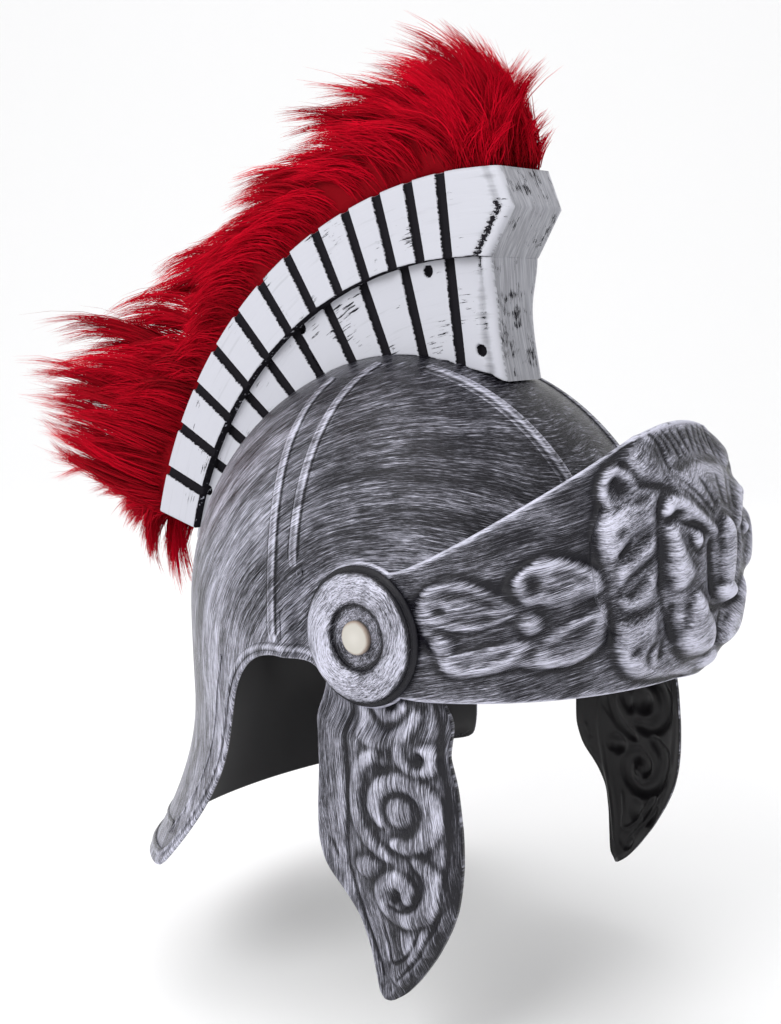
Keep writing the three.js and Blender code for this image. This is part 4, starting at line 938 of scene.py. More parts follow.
def guard_face(back, down):
    """Outer face of a cheek guard: a flat tongue on the pivot, then a plate crowned as a parabola
    across. Near its top it stays inside the visor's wall."""
    reach = np.hypot(back, down)
    tip = GUARD_TIP_INSET * ease(down, 0.6 * GUARD_DROP, GUARD_DROP)
    crowned = GUARD_CROWN - GUARD_CURVE * (back - GUARD_CROWN_Y) ** 2 - tip
    start = SEAT_RADIUS - GUARD_LEAD
    opened = mix(GUARD_OUTER, crowned, ease(reach, start, start + SEAT_BLEND))
    under = visor_half(np.maximum(GUARD_SWING_ROOM - back, 0), VISOR_WALL) - STACK_GAP - 0.3
    limited = np.minimum(opened, np.maximum(under, 0))
    return np.where(back > 0, opened, mix(limited, opened, ease(down, 28, 44)))


def make_cheek_guard(side, name, settings, finishes):
    """A cheek guard is a grid between the front and rear edges of its outline, laid on the guard's
    face. The scrolls and a rolled rear edge raise it, and a second layer lies a wall further in."""
    outline = np.array(GUARD_OUTLINE)
    even = np.linspace(0, 1, GUARD_ROWS)
    share = mix(even, np.sin(even * np.pi / 2), 0.3)
    down_share = mix(outline[0, 0], outline[-1, 0], share)
    front = smoothed(np.interp(down_share, outline[:, 0], outline[:, 1]), (3.2,), (0,))
    rear = smoothed(np.interp(down_share, outline[:, 0], outline[:, 2]), (3.2,), (0,))
    past = down_share * GUARD_DROP - (GUARD_DROP - GUARD_TIP_ROUND)
    tip = np.sqrt(1 - np.clip(past / GUARD_TIP_ROUND, 0, 1) ** 2)
    middle = (front + rear) / 2
    front, rear = middle + (front - middle) * tip, middle + (rear - middle) * tip
    place = mix(front[None, :], rear[None, :], np.linspace(0, 1, GUARD_COLUMNS)[:, None])
    back = GUARD_HALF_WIDTH * place
    down = np.broadcast_to(GUARD_DROP * down_share[None, :], back.shape)
    carved = ornament(SCROLLS, back, down, lambda points: points)
    carved = carved - ornament(SCROLL_CUTS, back, down, lambda points: points)
    relief = smoothed(settings.scroll_relief * carved, (0.8, 0.8))
    rear_edge = GUARD_HALF_WIDTH * (rear[None, :] - place)
    front_edge = GUARD_HALF_WIDTH * (place - front[None, :])
    rolled = 0.9 * (1 - ease(rear_edge, 0, 5)) * ease(down, 30, 50)
    dropped = 1.4 * (1 - ease(front_edge, 0, 4.5)) * ease(down, 20, 40)
    body_face = guard_face(back, down) + relief + rolled - dropped

    def points_at(inset):
        """One side of the plate, so far inside the outer one."""
        x = side * (body_face - inset)
        return np.stack([x, HINGE_Y + back, HINGE_Z - down], -1)

    outer, inner = points_at(0.0), points_at(GUARD_WALL)
    ring = np.concatenate([outer, inner[:, ::-1]], axis=1)
    count = ring.shape[1]
    faces = np.concatenate([grid_faces(GUARD_COLUMNS, count, loop_rows=True),
                            end_caps(GUARD_COLUMNS, count)])
    cavity = relief - smoothed(relief, (3.4, 3.2))
    fine = relief - smoothed(relief, (1.4, 1.4))
    shade = np.clip(0.5 + painted(cavity, 0.16, 0.2) + painted(fine, 0.4, 0.9), 0, 1)
    shade = np.maximum(shade, 0.62 * (1 - ease(rear_edge, 0.3, 2.5)))
    wear_and_shade = np.concatenate([shade, np.full(shade.shape, 0.5)], axis=1)
    # Painted shade: the front edge, which turns under, is painted darker.
    tone_and_shade = mix(0.5, 0.2, 1 - ease(front_edge, 2, 6))
    tone_and_shade = np.concatenate([tone_and_shade, np.full(shade.shape, 0.5)], axis=1)
    strokes = np.zeros(ring.shape)
    strokes[..., 0] = np.concatenate([down, down[:, ::-1]], axis=1) - 0.25 * ring[..., 1]
    strokes[..., 1] = ring[..., 1] + 0.1 * strokes[..., 0]
    strokes[:, :GUARD_ROWS, 2] = relief
    index = np.tile((np.arange(count) >= GUARD_ROWS).astype(int), GUARD_COLUMNS - 1)
    caps = np.zeros(len(faces) - len(index), int)
    body = Body()
    body.add(ring, faces, strokes, wear_and_shade, tone_and_shade, np.concatenate([index, caps]))
    piece = body.make(f"{name}_plate", [finishes["brushed"], finishes["inside"]])
    place_piece(piece, name, name)


def turned(profile, segments, side):
    """A body of revolution about the pivot axis from radius and distance-along pairs."""
    profile = np.asarray(profile, float)
    turn = np.linspace(0, 2 * np.pi, segments, endpoint=False)[:, None]
    radius, along = profile[None, :, 0], profile[None, :, 1]
    x = np.broadcast_to(side * along, (segments, len(profile)))
    return np.stack([x, HINGE_Y + radius * np.cos(turn), HINGE_Z + radius * np.sin(turn)], -1)


def make_temple_pivot(side, name, finishes):
    """The washer with its rolled ring face, and the rivet through it."""
    bore = RIVET_SHANK_RADIUS + PIN_CLEARANCE
    dish = DISC_FRONT - DISC_DISH_DEPTH
    share = np.linspace(1, 0, 40)
    ring_radius = DISC_RING_RADIUS - DISC_RING_WIDTH / 2 * np.cos(np.pi * share)
    ring_along = dish + DISC_DISH_DEPTH * np.sin(np.pi * share) ** 0.8
    rim_turn = np.linspace(0, np.pi / 2, 8)
    rim = np.stack([DISC_RADIUS - 2.2 + 2.2 * np.sin(rim_turn + np.pi / 2),
                    dish - 0.4 - 1.6 + 1.6 * np.cos(np.pi / 2 - rim_turn)], -1)
    ring_foot = DISC_RING_RADIUS - DISC_RING_WIDTH / 2
    flat = np.stack([np.linspace(ring_foot, bore, 14), np.full(14, dish)], -1)
    outer = np.stack([ring_radius, ring_along], -1)
    back = [(bore, DISC_BACK), (DISC_RADIUS - 0.4, DISC_BACK), (DISC_RADIUS, DISC_BACK + 0.4)]
    profile = np.concatenate([back, rim, outer, flat])
    points = turned(profile, DISC_SEGMENTS, side)
    angle = np.linspace(0, 2 * np.pi, DISC_SEGMENTS, endpoint=False)[:, None]
    outwards = 0.8 * profile[None, :, 0] + 2 * np.sin(2 * angle)
    strokes = np.stack(np.broadcast_arrays(50 * np.sin(angle), outwards, 50 * np.cos(angle)), -1)
    radius = profile[:, 0]
    behind = profile[:, 1] < dish - 0.3
    wear_and_shade = 0.58 - 0.9 * np.exp(-((radius - 26.8) / 1.3) ** 2) - 0.34 * np.exp(-((radius - 12.8) / 1.2) ** 2)
    wear_and_shade = np.where(behind, 0.2, wear_and_shade)
    tone_and_shade = np.where(behind, 0.0, mix(0.34, 0.62, ease(radius, 11, 16)))
    body = Body()
    body.add(points, grid_faces(DISC_SEGMENTS, len(profile), True, True), strokes,
             np.tile(np.clip(wear_and_shade, 0, 1), DISC_SEGMENTS), np.tile(tone_and_shade, DISC_SEGMENTS))
    disc = body.make(f"temple_disc_{name}_ring", [finishes["disc"]])
    place_piece(disc, "helmet", f"temple_disc_{name}")

    front_y = HINGE_Y - RIVET_TAIL_RADIUS
    share = front_y / (SKULL_LENGTH / 2 - SKULL_WALL)
    tail_outer = (SKULL_WIDTH / 2 - SKULL_WALL) * math.sqrt(1 - share**2) - SKULL_WALL
    tail_inner = tail_outer - RIVET_HEAD_THICKNESS
    head_inner = dish + PIN_CLEARANCE
    head_outer = head_inner + RIVET_HEAD_THICKNESS
    turn = np.linspace(0, np.pi / 2, 9)
    edge = np.stack([RIVET_HEAD_RADIUS - 1.1 + 1.1 * np.cos(turn), head_outer - 1.1 + 1.1 * np.sin(turn)], -1)
    share = np.linspace(0, 1, 8)
    centre = np.stack([(RIVET_HEAD_RADIUS - 1.3) * (1 - share), head_outer + 0.12 * share], -1)
    profile = np.concatenate([[(0, tail_inner), (RIVET_TAIL_RADIUS - 0.5, tail_inner),
                               (RIVET_TAIL_RADIUS, tail_inner + 0.5), (RIVET_TAIL_RADIUS, tail_outer),
                               (RIVET_SHANK_RADIUS, tail_outer), (RIVET_SHANK_RADIUS, head_inner),
                               (RIVET_HEAD_RADIUS, head_inner)], edge, centre])
    points = turned(profile, RIVET_SEGMENTS, side)
    body = Body()
    body.add(points, grid_faces(RIVET_SEGMENTS, len(profile), True),
             tone_and_shade=np.tile(profile[:, 0] / RIVET_HEAD_RADIUS, RIVET_SEGMENTS))
    rivet = body.make(f"rivet_{name}_pin", [finishes["rivet"]])
    place_piece(rivet, "helmet", f"rivet_{name}")


def crest_point(radius, angle, x):
    """A place at a radius and angle about the crest circle's centre."""
    turn = np.radians(angle)
    y = CREST_CENTRE[0] + radius * np.cos(turn)
    z = CREST_CENTRE[1] + radius * np.sin(turn)
    return np.stack(np.broadcast_arrays(x, y, z), -1)


def tier_reach(angle):
    """Distance from the crest circle's centre to the tier circle: the far root of the crossing."""
    turn = np.radians(angle)
    dy, dz = TIER_CENTRE[0] - CREST_CENTRE[0], TIER_CENTRE[1] - CREST_CENTRE[1]
    along = dy * np.cos(turn) + dz * np.sin(turn)
    return along + np.sqrt(along**2 - dy**2 - dz**2 + TIER_RADIUS**2)


def dome_reach(angle):
    """Distance from the crest circle's centre to the dome beside the lower tier's wall."""
    turn = np.radians(angle)
    c, s = np.cos(turn), np.sin(turn)
    narrowed = math.sqrt(1 - (LOWER_HALF / (SKULL_WIDTH / 2)) ** 2)
    b, h = SKULL_LENGTH / 2 * narrowed, DOME_HEIGHT * narrowed
    y0, z0 = CREST_CENTRE[0], CREST_CENTRE[1] - CENTRE_Z
    a2 = (c / b) ** 2 + (s / h) ** 2
    a1 = y0 * c / b**2 + z0 * s / h**2
    a0 = (y0 / b) ** 2 + (z0 / h) ** 2 - 1
    return (-a1 + np.sqrt(a1**2 - a2 * a0)) / a2


def tier_columns(slots, front, rear, holes=()):
    """Columns along a tier as an angle and an offset in millimetres from it: close pairs at each
    slot's edges, a few over each pin hole, and even steps between."""
    found = [(angle, offset) for angle in slots for offset in SLOT_COLUMNS]
    found += [(angle, offset) for angle, _ in holes for offset in np.arange(-3.3, 3.31, 0.3)]
    places = np.array([angle - math.degrees(offset / CREST_MEAN_RADIUS) for angle, offset in found])
    for angle in np.arange(front - 1.0, rear, -0.5):
        if np.min(np.abs(places - angle)) > 0.33:
            found.append((angle, 0.0))
    found += [(front, 0.0), (front - 0.12, 0.0), (front - 0.3, 0.0), (front - 0.6, 0.0)]
    found += [(rear, 0.0), (rear + 0.12, 0.0), (rear + 0.3, 0.0)]
    found.sort(key=lambda pair: -(pair[0] - math.degrees(pair[1] / CREST_MEAN_RADIUS)))
    return np.array(found)


def slot_depth(slots, low, high, angle, radius):
    """Depth of the slots over a wall: each is a channel along a radius with a round inner end."""
    depth = np.zeros(np.broadcast(angle, radius).shape)
    worn = np.zeros(depth.shape)
    for centre in slots:
        turn = np.radians(angle - centre)
        across, along = radius * np.sin(turn), radius * np.cos(turn)
        start = low(centre) + SLOT_WIDTH / 2
        away = np.where(along > start, np.abs(across), np.hypot(across, along - start))
        away = np.where(along > high(centre), np.hypot(across, along - high(centre)), away)
        away = np.where(np.abs(turn) < 0.3, away, 99)
        depth = np.maximum(depth, ease(SLOT_WIDTH / 2 + 0.18 - away, 0, 0.42))
        worn = np.maximum(worn, 0.6 * ease(SLOT_WIDTH / 2 + 0.7 - away, 0, 1.0))
    return depth, worn


def tier_walls(columns, rows, low, high, half, edge_round, slots, slot_low, slot_high, holes=()):
    """One side of a tier: angle, radius and distance from the middle plane over a grid. The wall is
    flat, rounded off at its ends, and pressed in at the slots and pin holes."""
    base, offset = columns[:, :1], columns[:, 1:]
    angle = base - np.degrees(offset / CREST_MEAN_RADIUS)
    bottom, top = low(angle), high(angle)
    radius = mix(bottom, top, rows[None, :])
    angle = base - np.degrees(offset / radius)
    x = np.full(radius.shape, half)
    pressed, worn = slot_depth(slots, slot_low, slot_high, angle, radius)
    x -= 1.5 * SLOT_DEPTH * pressed
    hole = np.zeros(radius.shape)
    for centre, place in holes:
        turn = np.radians(angle - centre)
        away = np.hypot(radius * np.sin(turn), radius * np.cos(turn) - place)
        hole = np.maximum(hole, ease(PIN_HOLE_RADIUS - away, -0.1, 0.25))
    x -= PIN_HOLE_DEPTH * hole
    from_front = (columns[0, 0] - angle) * math.pi / 180 * radius
    from_rear = (angle - columns[-1, 0]) * math.pi / 180 * radius
    for gap, rounding in ((from_front, 2.6), (from_rear, edge_round)):
        near = np.clip(1 - gap / rounding, 0, 1)
        x -= rounding * (1 - np.sqrt(1 - near**2))
    x -= 0.7 * np.exp(-(((from_front - BEVEL_OFFSET) / 1.5) ** 2))
    share = np.broadcast_to(rows[None, :], radius.shape)
    if half < UPPER_HALF:
        x += 4.2 * ease(share, 0.55, 1.0) * (1 - ease(from_front, 3, 9))
        splash = ease(share, 0.75, 1.0)
    else:
        splash = 1 - ease(share, 0.55, 0.8)
    splash = splash * np.exp(-(((from_front - BEVEL_SHADE_OFFSET) / 2.4) ** 2))
    # Painted shade: a soft darker band along the shallow groove behind the front edge.
    groove = np.exp(-(((from_front - BEVEL_SHADE_OFFSET) / 2.2) ** 2))
    # The pin holes are painted black, partly as bare plastic and partly as painted shade inside them.
    return angle, radius, x, np.max([pressed, worn, 0.58 * splash], axis=0) + 1.2 * hole, groove


def crest_top(angle):
    """Distance from the crest circle's centre to the crest's top."""
    return np.full(np.shape(angle), CREST_RADIUS)


def lower_seat(angle):
    """Distance from the crest circle's centre to the lower tier's foot, just clear of the dome."""
    return dome_reach(angle) + CREST_SEAT


def lower_top(angle):
    """Distance from the crest circle's centre to the lower tier's top, inside the upper tier."""
    return tier_reach(angle) + 1.2


def make_crest_holder(finishes):
    """Both tiers of the crest holder, joined in one mesh."""
    body = Body()
    fine = np.linspace(0.02, 0.26, 20)
    rows = np.unique(np.concatenate([[0.0], fine, np.linspace(0.26, 1.0, 16)]))
    columns = tier_columns(UPPER_SLOT_ANGLES, CREST_FRONT_ANGLE, CREST_REAR_ANGLE)
    add_tier(body, columns, rows, tier_reach, crest_top, UPPER_HALF, UPPER_SLOT_ANGLES,
             lambda a: tier_reach(a) - 1.6, lambda a: CREST_RADIUS + 9, (), True)
    lower_rows = np.linspace(0, 1, 70)
    columns = tier_columns(LOWER_SLOT_ANGLES, LOWER_FRONT_ANGLE, LOWER_REAR_ANGLE, PIN_HOLES)
    add_tier(body, columns, lower_rows, lower_seat, lower_top, LOWER_HALF, LOWER_SLOT_ANGLES,
             lambda a: dome_reach(a) - 3.0, lambda a: tier_reach(a) + 9, PIN_HOLES, False)
    piece = body.make("crest_holder_case", [finishes["crest"]])
    place_piece(piece, "helmet", "crest_holder")


def both_sides(half):
    """Rows of one side and then, in reverse, of the other, which share their first and last."""
    return np.concatenate([half, half[:, ::-1][:, 1:-1]], axis=1)


def add_tier(body, columns, rows, low, high, half, slots, slot_low, slot_high, holes, upper):
    """A whole tier as a ring of points swept along its angle: up one wall, over the top and down the
    other, with the plume channel sunk into the top of the upper tier."""
    angle, radius, x, pressed, groove = tier_walls(columns, rows, low, high, half, 1.6, slots,
                                                   slot_low, slot_high, holes)
    wall = crest_point(radius, angle, x)
    count = len(columns)
    top_angle, top_radius, top_x = angle[:, -1:], radius[:, -1:], x[:, -1:]
    if upper:
        inner = half - CREST_WALL
        from_end = np.minimum(CREST_FRONT_ANGLE - top_angle, top_angle - CREST_REAR_ANGLE)
        sink = CHANNEL_DEPTH * ease(from_end, 0.5, 0.6)
        offsets = [(-0.5, 0.35), (inner - half + 0.4, 0.35), (inner - half, 0.0)]
        rim = [crest_point(top_radius + lift, top_angle, top_x + step) for step, lift in offsets]
        floor = [crest_point(top_radius - sink, top_angle, np.full(top_x.shape, place))
                 for place in (inner - 0.05, 0.5 * inner, 0.0)]
        lid = np.concatenate(rim + floor, axis=1)
        lid_dark = np.concatenate([np.full((count, 3), 0.85), np.full((count, 3), 0.1)], axis=1)
    else:
        lid = np.concatenate([crest_point(top_radius, top_angle, top_x * place)
                              for place in (0.7, 0.3, 0.0)], axis=1)
        lid_dark = np.full((count, 3), 0.1)
    base_x, base_radius = x[:, :1], radius[:, :1] - FOOT_INSET
    foot = np.concatenate([crest_point(base_radius, angle[:, :1], place)
                           for place in (0.0 * base_x, 0.5 * base_x, base_x - 0.3)], axis=1)
    half_ring = np.concatenate([foot, wall, lid], axis=1)
    reach = np.concatenate([np.broadcast_to(base_radius, (count, 3)), radius,
                            np.broadcast_to(top_radius, (count, lid.shape[1]))], axis=1)
    shift = front_line(reach[0], upper) - half_ring[0, :, 1:]
    gap = (columns[0, 0] - columns[:, 0]) * math.pi / 180 * reach.mean()
    half_ring[..., 1:] += (1 - ease(gap, 9, 21))[:, None, None] * shift[None]
    ring = both_sides(half_ring)
    ring[:, half_ring.shape[1]:, 0] *= -1
    faces = grid_faces(count, ring.shape[1], loop_rows=True)
    wear_and_shade = both_sides(np.concatenate([np.full((count, 3), 0.42), 1 - pressed, lid_dark], axis=1))
    # Painted shade: the paint is darker along the groove behind the front edge.
    tone_and_shade = both_sides(np.concatenate([np.full((count, 3), 0.5), 0.6 - 0.4 * groove,
                                      np.full(lid_dark.shape, 0.55)], axis=1))
    round_angle = np.arctan2(ring[..., 2] - CREST_CENTRE[1], ring[..., 1] - CREST_CENTRE[0])
    reach_out = np.hypot(ring[..., 2] - CREST_CENTRE[1], ring[..., 1] - CREST_CENTRE[0])
    strokes = np.stack([190 * round_angle, reach_out, ring[..., 0] * 0.5 + 30 * upper], -1)
    body.add(ring, faces, strokes, wear_and_shade, tone_and_shade)
    for end, ahead in ((0, -1.0), (count - 1, 1.0)):
        column = half_ring[end]
        cap = column[None] * np.stack([END_CAP_SPREAD, np.ones(8), np.ones(8)], -1)[:, None]
        cap_faces = grid_faces(8, len(column))
        cap_strokes = np.stack([2.4 * cap[..., 2], 2.4 * cap[..., 0] + 0.2 * cap[..., 2],
                                60 + cap[..., 1]], -1)
        cap = cap.reshape(-1, 3)
        # Painted shade: both end faces are painted grey.
        body.add_turned(cap, towards(cap, cap_faces, np.array([0, ahead, 0])), cap_strokes,
                        np.full(len(cap), 0.95), np.full(len(cap), 0.18))


def front_line(reach, upper):
    """Y and Z of the crest holder's front edge at each distance from the crest circle's centre."""
    top = crest_point(CREST_RADIUS, CREST_FRONT_ANGLE, 0.0)[1:]
    turn = math.radians(TIER_FRONT_ANGLE)
    tier = np.array(TIER_CENTRE) + TIER_RADIUS * np.array([math.cos(turn), math.sin(turn)])
    if upper:
        line = np.array([tier, [top[0] - BEAK_REACH, top[1] - BEAK_DROP], top])
    else:
        hollow = (FRONT_FOOT[0] + FRONT_HOLLOW, FRONT_FOOT[1] + 24)
        line = curve_through([FRONT_FOOT, hollow, tier])
    share = (reach - reach[0]) / (reach[-1] - reach[0])
    length = length_along(line)
    return np.stack([np.interp(share * length[-1], length, line[:, k]) for k in range(2)], -1)


def plume_at(angle):
    """Height, half width and sweep of the plume at an angle."""
    table = np.array(PLUME, float)[::-1]
    return [np.interp(angle, table[:, 0], table[:, k]) for k in (1, 2, 3)]


def flow_paths(root_angle, root_x, tip_angle, tip_height, tip_x, share):
    """Centre lines of hairs: cubics in the crest's own plane that leave the root along the radius and
    arrive at the tip swept back."""
    root = crest_point(np.full(root_angle.shape, CREST_RADIUS - 3), root_angle, root_x)
    tip = crest_point(CREST_RADIUS + tip_height, tip_angle, tip_x)
    length = np.linalg.norm(tip - root, axis=1, keepdims=True)
    above = crest_point(CREST_RADIUS + 10.0, root_angle, root_x * 1.3)
    out = unit(above - crest_point(CREST_RADIUS, root_angle, root_x))
    swept = unit(tip - root) - 0.55 * out
    first = root + out * length * 0.45
    second = tip - unit(swept) * length * 0.35
    u = share[..., None]
    return ((1 - u) ** 3 * root[:, None] + 3 * (1 - u) ** 2 * u * first[:, None]
            + 3 * (1 - u) * u**2 * second[:, None] + u**3 * tip[:, None])


def ribbons(paths, width, rng):
    """Tapered flat strands along centre lines, each turned about its own line by chance."""
    count, steps = paths.shape[:2]
    heading = unit(np.gradient(paths, axis=1))
    chance = unit(rng.normal(size=(count, 1, 3)))
    across = unit(np.cross(heading, chance))
    half = 0.5 * width[:, None, None] * HAIR_TAPER[None, :, None]
    points = np.stack([paths - across * half, paths + across * half], 2).reshape(-1, 3)
    base = np.arange(count)[:, None] * steps * 2
    row = 2 * np.arange(steps - 1)[None, :]
    faces = np.stack([base + row, base + row + 1, base + row + 3, base + row + 2], -1).reshape(-1, 4)
    return points, faces


def make_pile(rng, finishes):
    """The backing pile is a rounded form under 0.55 of the plume's outline: a flattened arc across,
    with soft bumps, that leans with the sweep."""
    backing = Body()
    angle = np.linspace(CREST_FRONT_ANGLE - 2.0, CREST_REAR_ANGLE + 1.5, PILE_COLUMNS)
    height, half, sweep = plume_at(angle)
    height = smoothed(np.minimum(height, 75.0), (4,), (0,))
    share = np.linspace(-1, 1, PILE_ROWS)
    up = np.sqrt(np.clip(1 - np.abs(share) ** 2.4, 0, 1))[None, :]
    bumps = smoothed(rng.normal(size=(PILE_COLUMNS, PILE_ROWS)), (3.0, 2.0)) * 9
    reach = CREST_RADIUS - 3 + up * (0.55 * height[:, None] + bumps)
    x = np.sin(share * np.pi / 2)[None, :] * mix(16.5, 0.78 * half[:, None], up)
    points = crest_point(reach, angle[:, None] - 0.3 * sweep[:, None] * up * 0.5, x)
    # Painted shade: the pile is painted dark, as fur in shade deep between the clumps.
    backing.add(points, grid_faces(PILE_COLUMNS, PILE_ROWS, loop_rows=True),
                tone_and_shade=np.full(points.shape[:2], 0.22))
    pile = backing.make("plume_pile", [finishes["pile"]])
    place_piece(pile, "helmet", "plume")


def in_channel(angle):
    """Angles of roots, kept between the ends of the plume channel."""
    return np.clip(angle, CREST_REAR_ANGLE + 1.2, CREST_FRONT_ANGLE - 2.0)


def hair_guides(clumps, rng):
    """The lines that hairs close in on: clumps whose tips are drawn by chance under the outline, and
    each wisp three times. Columns are the root's angle and place across, the tip's angle, height and
    place across, and the share of hairs."""
    tip_angle = rng.uniform(2.5, 92.5, clumps * 3)
    height, half, sweep = plume_at(tip_angle)
    kept = np.flatnonzero(rng.uniform(0, 75, clumps * 3) < height)[:clumps]
    tip_angle, height, half, sweep = (values[kept] for values in (tip_angle, height, half, sweep))
    count = len(kept)
    side = np.sin(rng.uniform(-1, 1, count) * np.pi / 2) * 0.98
    level = np.sqrt(1 - 0.8 * side**2) * rng.uniform(0.66, 1.0, count) ** 0.6
    tip_height = (1.07 * height + 7 * np.exp(-(((tip_angle - 70) / 8) ** 2))) * level
    sweep = sweep * (0.5 + 0.6 * level) + rng.normal(size=count) * 1.6
    root_x = np.clip(side * 13 + rng.normal(size=count) * 2, -13.5, 13.5)
    guides = [np.stack([in_channel(tip_angle + sweep), root_x, tip_angle, tip_height, side * half,
                        np.full(count, 1.0)], -1)]
    angle, height, across, sweep = np.array(WISPS, float).T
    for turn in range(3):
        away = rng.normal(size=(len(WISPS), 3))
        guides.append(np.stack([
            in_channel(angle + sweep) + away[:, 0], 0.6 * across, angle + 0.5 * away[:, 1] * turn,
            height * (1 - 0.07 * turn), across + 2 * away[:, 2], np.full(len(WISPS), 1.6),
        ], -1))
    return np.concatenate(guides)


def hair_paths(guide, rng):
    """Centre lines of hairs, and the share of the way to the tip at their points. A hair stands off
    from its guide by a distance that shrinks towards the tip, with a wave along it and a flare that
    grows as the square of the share."""
    count = len(guide)
    end = rng.uniform(0.5, 1.0, count) ** 0.7
    share = np.linspace(0.12, 1, HAIR_STEPS)[None, :] * end[:, None]
    paths = flow_paths(*guide[:, :5].T, share)
    spread = unit(rng.normal(size=(count, 3))) * rng.uniform(0, 1, (count, 1)) ** 0.5 * [3.4, 5.2, 5.2]
    close = (1 - share[..., None]) ** 0.9 + 0.16
    curl = rng.normal(size=(count, 3)) * 0.9
    wave = np.sin(share * rng.uniform(3, 9, (count, 1)) + rng.uniform(0, 6, (count, 1)))[..., None]
    flare = rng.normal(size=(count, 3)) * np.where(rng.uniform(size=(count, 1)) < 0.12, 3.2, 0.7)
    paths = paths + spread[:, None] * close + wave * curl[:, None]
    return paths + flare[:, None] * share[..., None] ** 2, share


def make_plume(settings, finishes):
    """The backing pile, and over it hairs in clumps that run from a root in the channel to a tip at
    the outline. They are joined into a few meshes and are painted darker towards their roots as
    shade among the hairs."""
    rng = np.random.default_rng(FUR_SEED)
    make_pile(rng, finishes)
    guides = hair_guides(settings.clumps, rng)
    colour = rng.normal(size=len(guides))
    weight = guides[:, 5] / guides[:, 5].sum()
    chosen = rng.choice(len(guides), settings.strands, p=weight)
    batches = math.ceil(settings.strands / HAIRS_PER_PIECE)
    for batch, part in enumerate(np.array_split(chosen, batches), 1):
        paths, share = hair_paths(guides[part], rng)
        points, faces = ribbons(paths, rng.uniform(0.3, 0.62, len(part)), rng)
        # Painted shade: each hair is darker towards its root, where the others shade it.
        shade = 0.62 + 0.1 * colour[part] + rng.normal(size=len(part)) * 0.08
        shade = shade[:, None, None] * (0.35 + 0.85 * share[..., None] ** 0.7) * np.ones((1, 1, 2))
        fur = Body()
        fur.add_turned(points, faces, tone_and_shade=np.clip(shade, 0, 1))
        piece = fur.make(f"plume_fur_{batch}", [finishes["fur"]])
        place_piece(piece, "helmet", "plume")


class Finish:
    """A small maker of node materials."""

    def __init__(self, name):
        self.material = bpy.data.materials.new(name)
        self.material.use_nodes = True
        self.nodes = self.material.node_tree.nodes
        self.links = self.material.node_tree.links
        self.shader = self.nodes["Principled BSDF"]

    def node(self, kind, **settings):
        """A new node with its settings."""
        made = self.nodes.new(kind)
        for key, value in settings.items():
            setattr(made, key, value)
        return made

    def join(self, source, target):
        """Links an output to an input."""
        self.links.new(source, target)

    def put(self, socket, value):
        """Sets one of the shader's own inputs to a number or colour, or links an output to it."""
        target = self.shader.inputs[socket]
        if isinstance(value, bpy.types.NodeSocket):
            self.join(value, target)
        else:
            target.default_value = value

    def attribute(self, name, output="Fac"):
        """A value stored on the mesh's points."""
        return self.node("ShaderNodeAttribute", attribute_name=name).outputs[output]

    def math(self, operation, first, second=None, third=None, clamp=False):
        """A sum of outputs and plain numbers."""
        made = self.node("ShaderNodeMath", operation=operation, use_clamp=clamp)
        for socket, value in zip(made.inputs, (first, second, third)):
            if value is None:
                continue
            if isinstance(value, (int, float)):
                socket.default_value = value
            else:
                self.join(value, socket)
        return made.outputs[0]

    def added(self, value, source, weight):
        """The value with a weighted output added, which changes nothing where that output is a half."""
        return self.math("ADD", value, self.math("MULTIPLY_ADD", source, weight, -weight / 2))

    def noise(self, vector, scale, stretch=(1, 1, 1), detail=3.0, rough=0.6):
        """Noise over a vector whose axes are stretched first."""
        stretched = self.node("ShaderNodeVectorMath", operation="MULTIPLY")
        stretched.inputs[1].default_value = stretch
        self.join(vector, stretched.inputs[0])
        made = self.node("ShaderNodeTexNoise")
        made.inputs["Scale"].default_value = scale
        made.inputs["Detail"].default_value = detail
        made.inputs["Roughness"].default_value = rough
        self.join(stretched.outputs[0], made.inputs["Vector"])
        return made.outputs["Fac"]

    def ramp(self, value, stops, smooth=True):
        """A colour for each value, from places and colours."""
        made = self.node("ShaderNodeValToRGB")
        made.color_ramp.interpolation = "EASE" if smooth else "LINEAR"
        ramp = made.color_ramp.elements
        while len(ramp) < len(stops):
            ramp.new(0.5)
        for element, (place, colour) in zip(ramp, stops):
            element.position = place
            element.color = (*colour, 1)
        self.join(value, made.inputs["Fac"])
        return made.outputs["Color"]

    def bump(self, height, distance, strength):
        """Fine relief on the shader's normal."""
        made = self.node("ShaderNodeBump")
        made.inputs["Distance"].default_value = distance
        made.inputs["Strength"].default_value = strength
        self.join(height, made.inputs["Height"])
        self.join(made.outputs["Normal"], self.shader.inputs["Normal"])


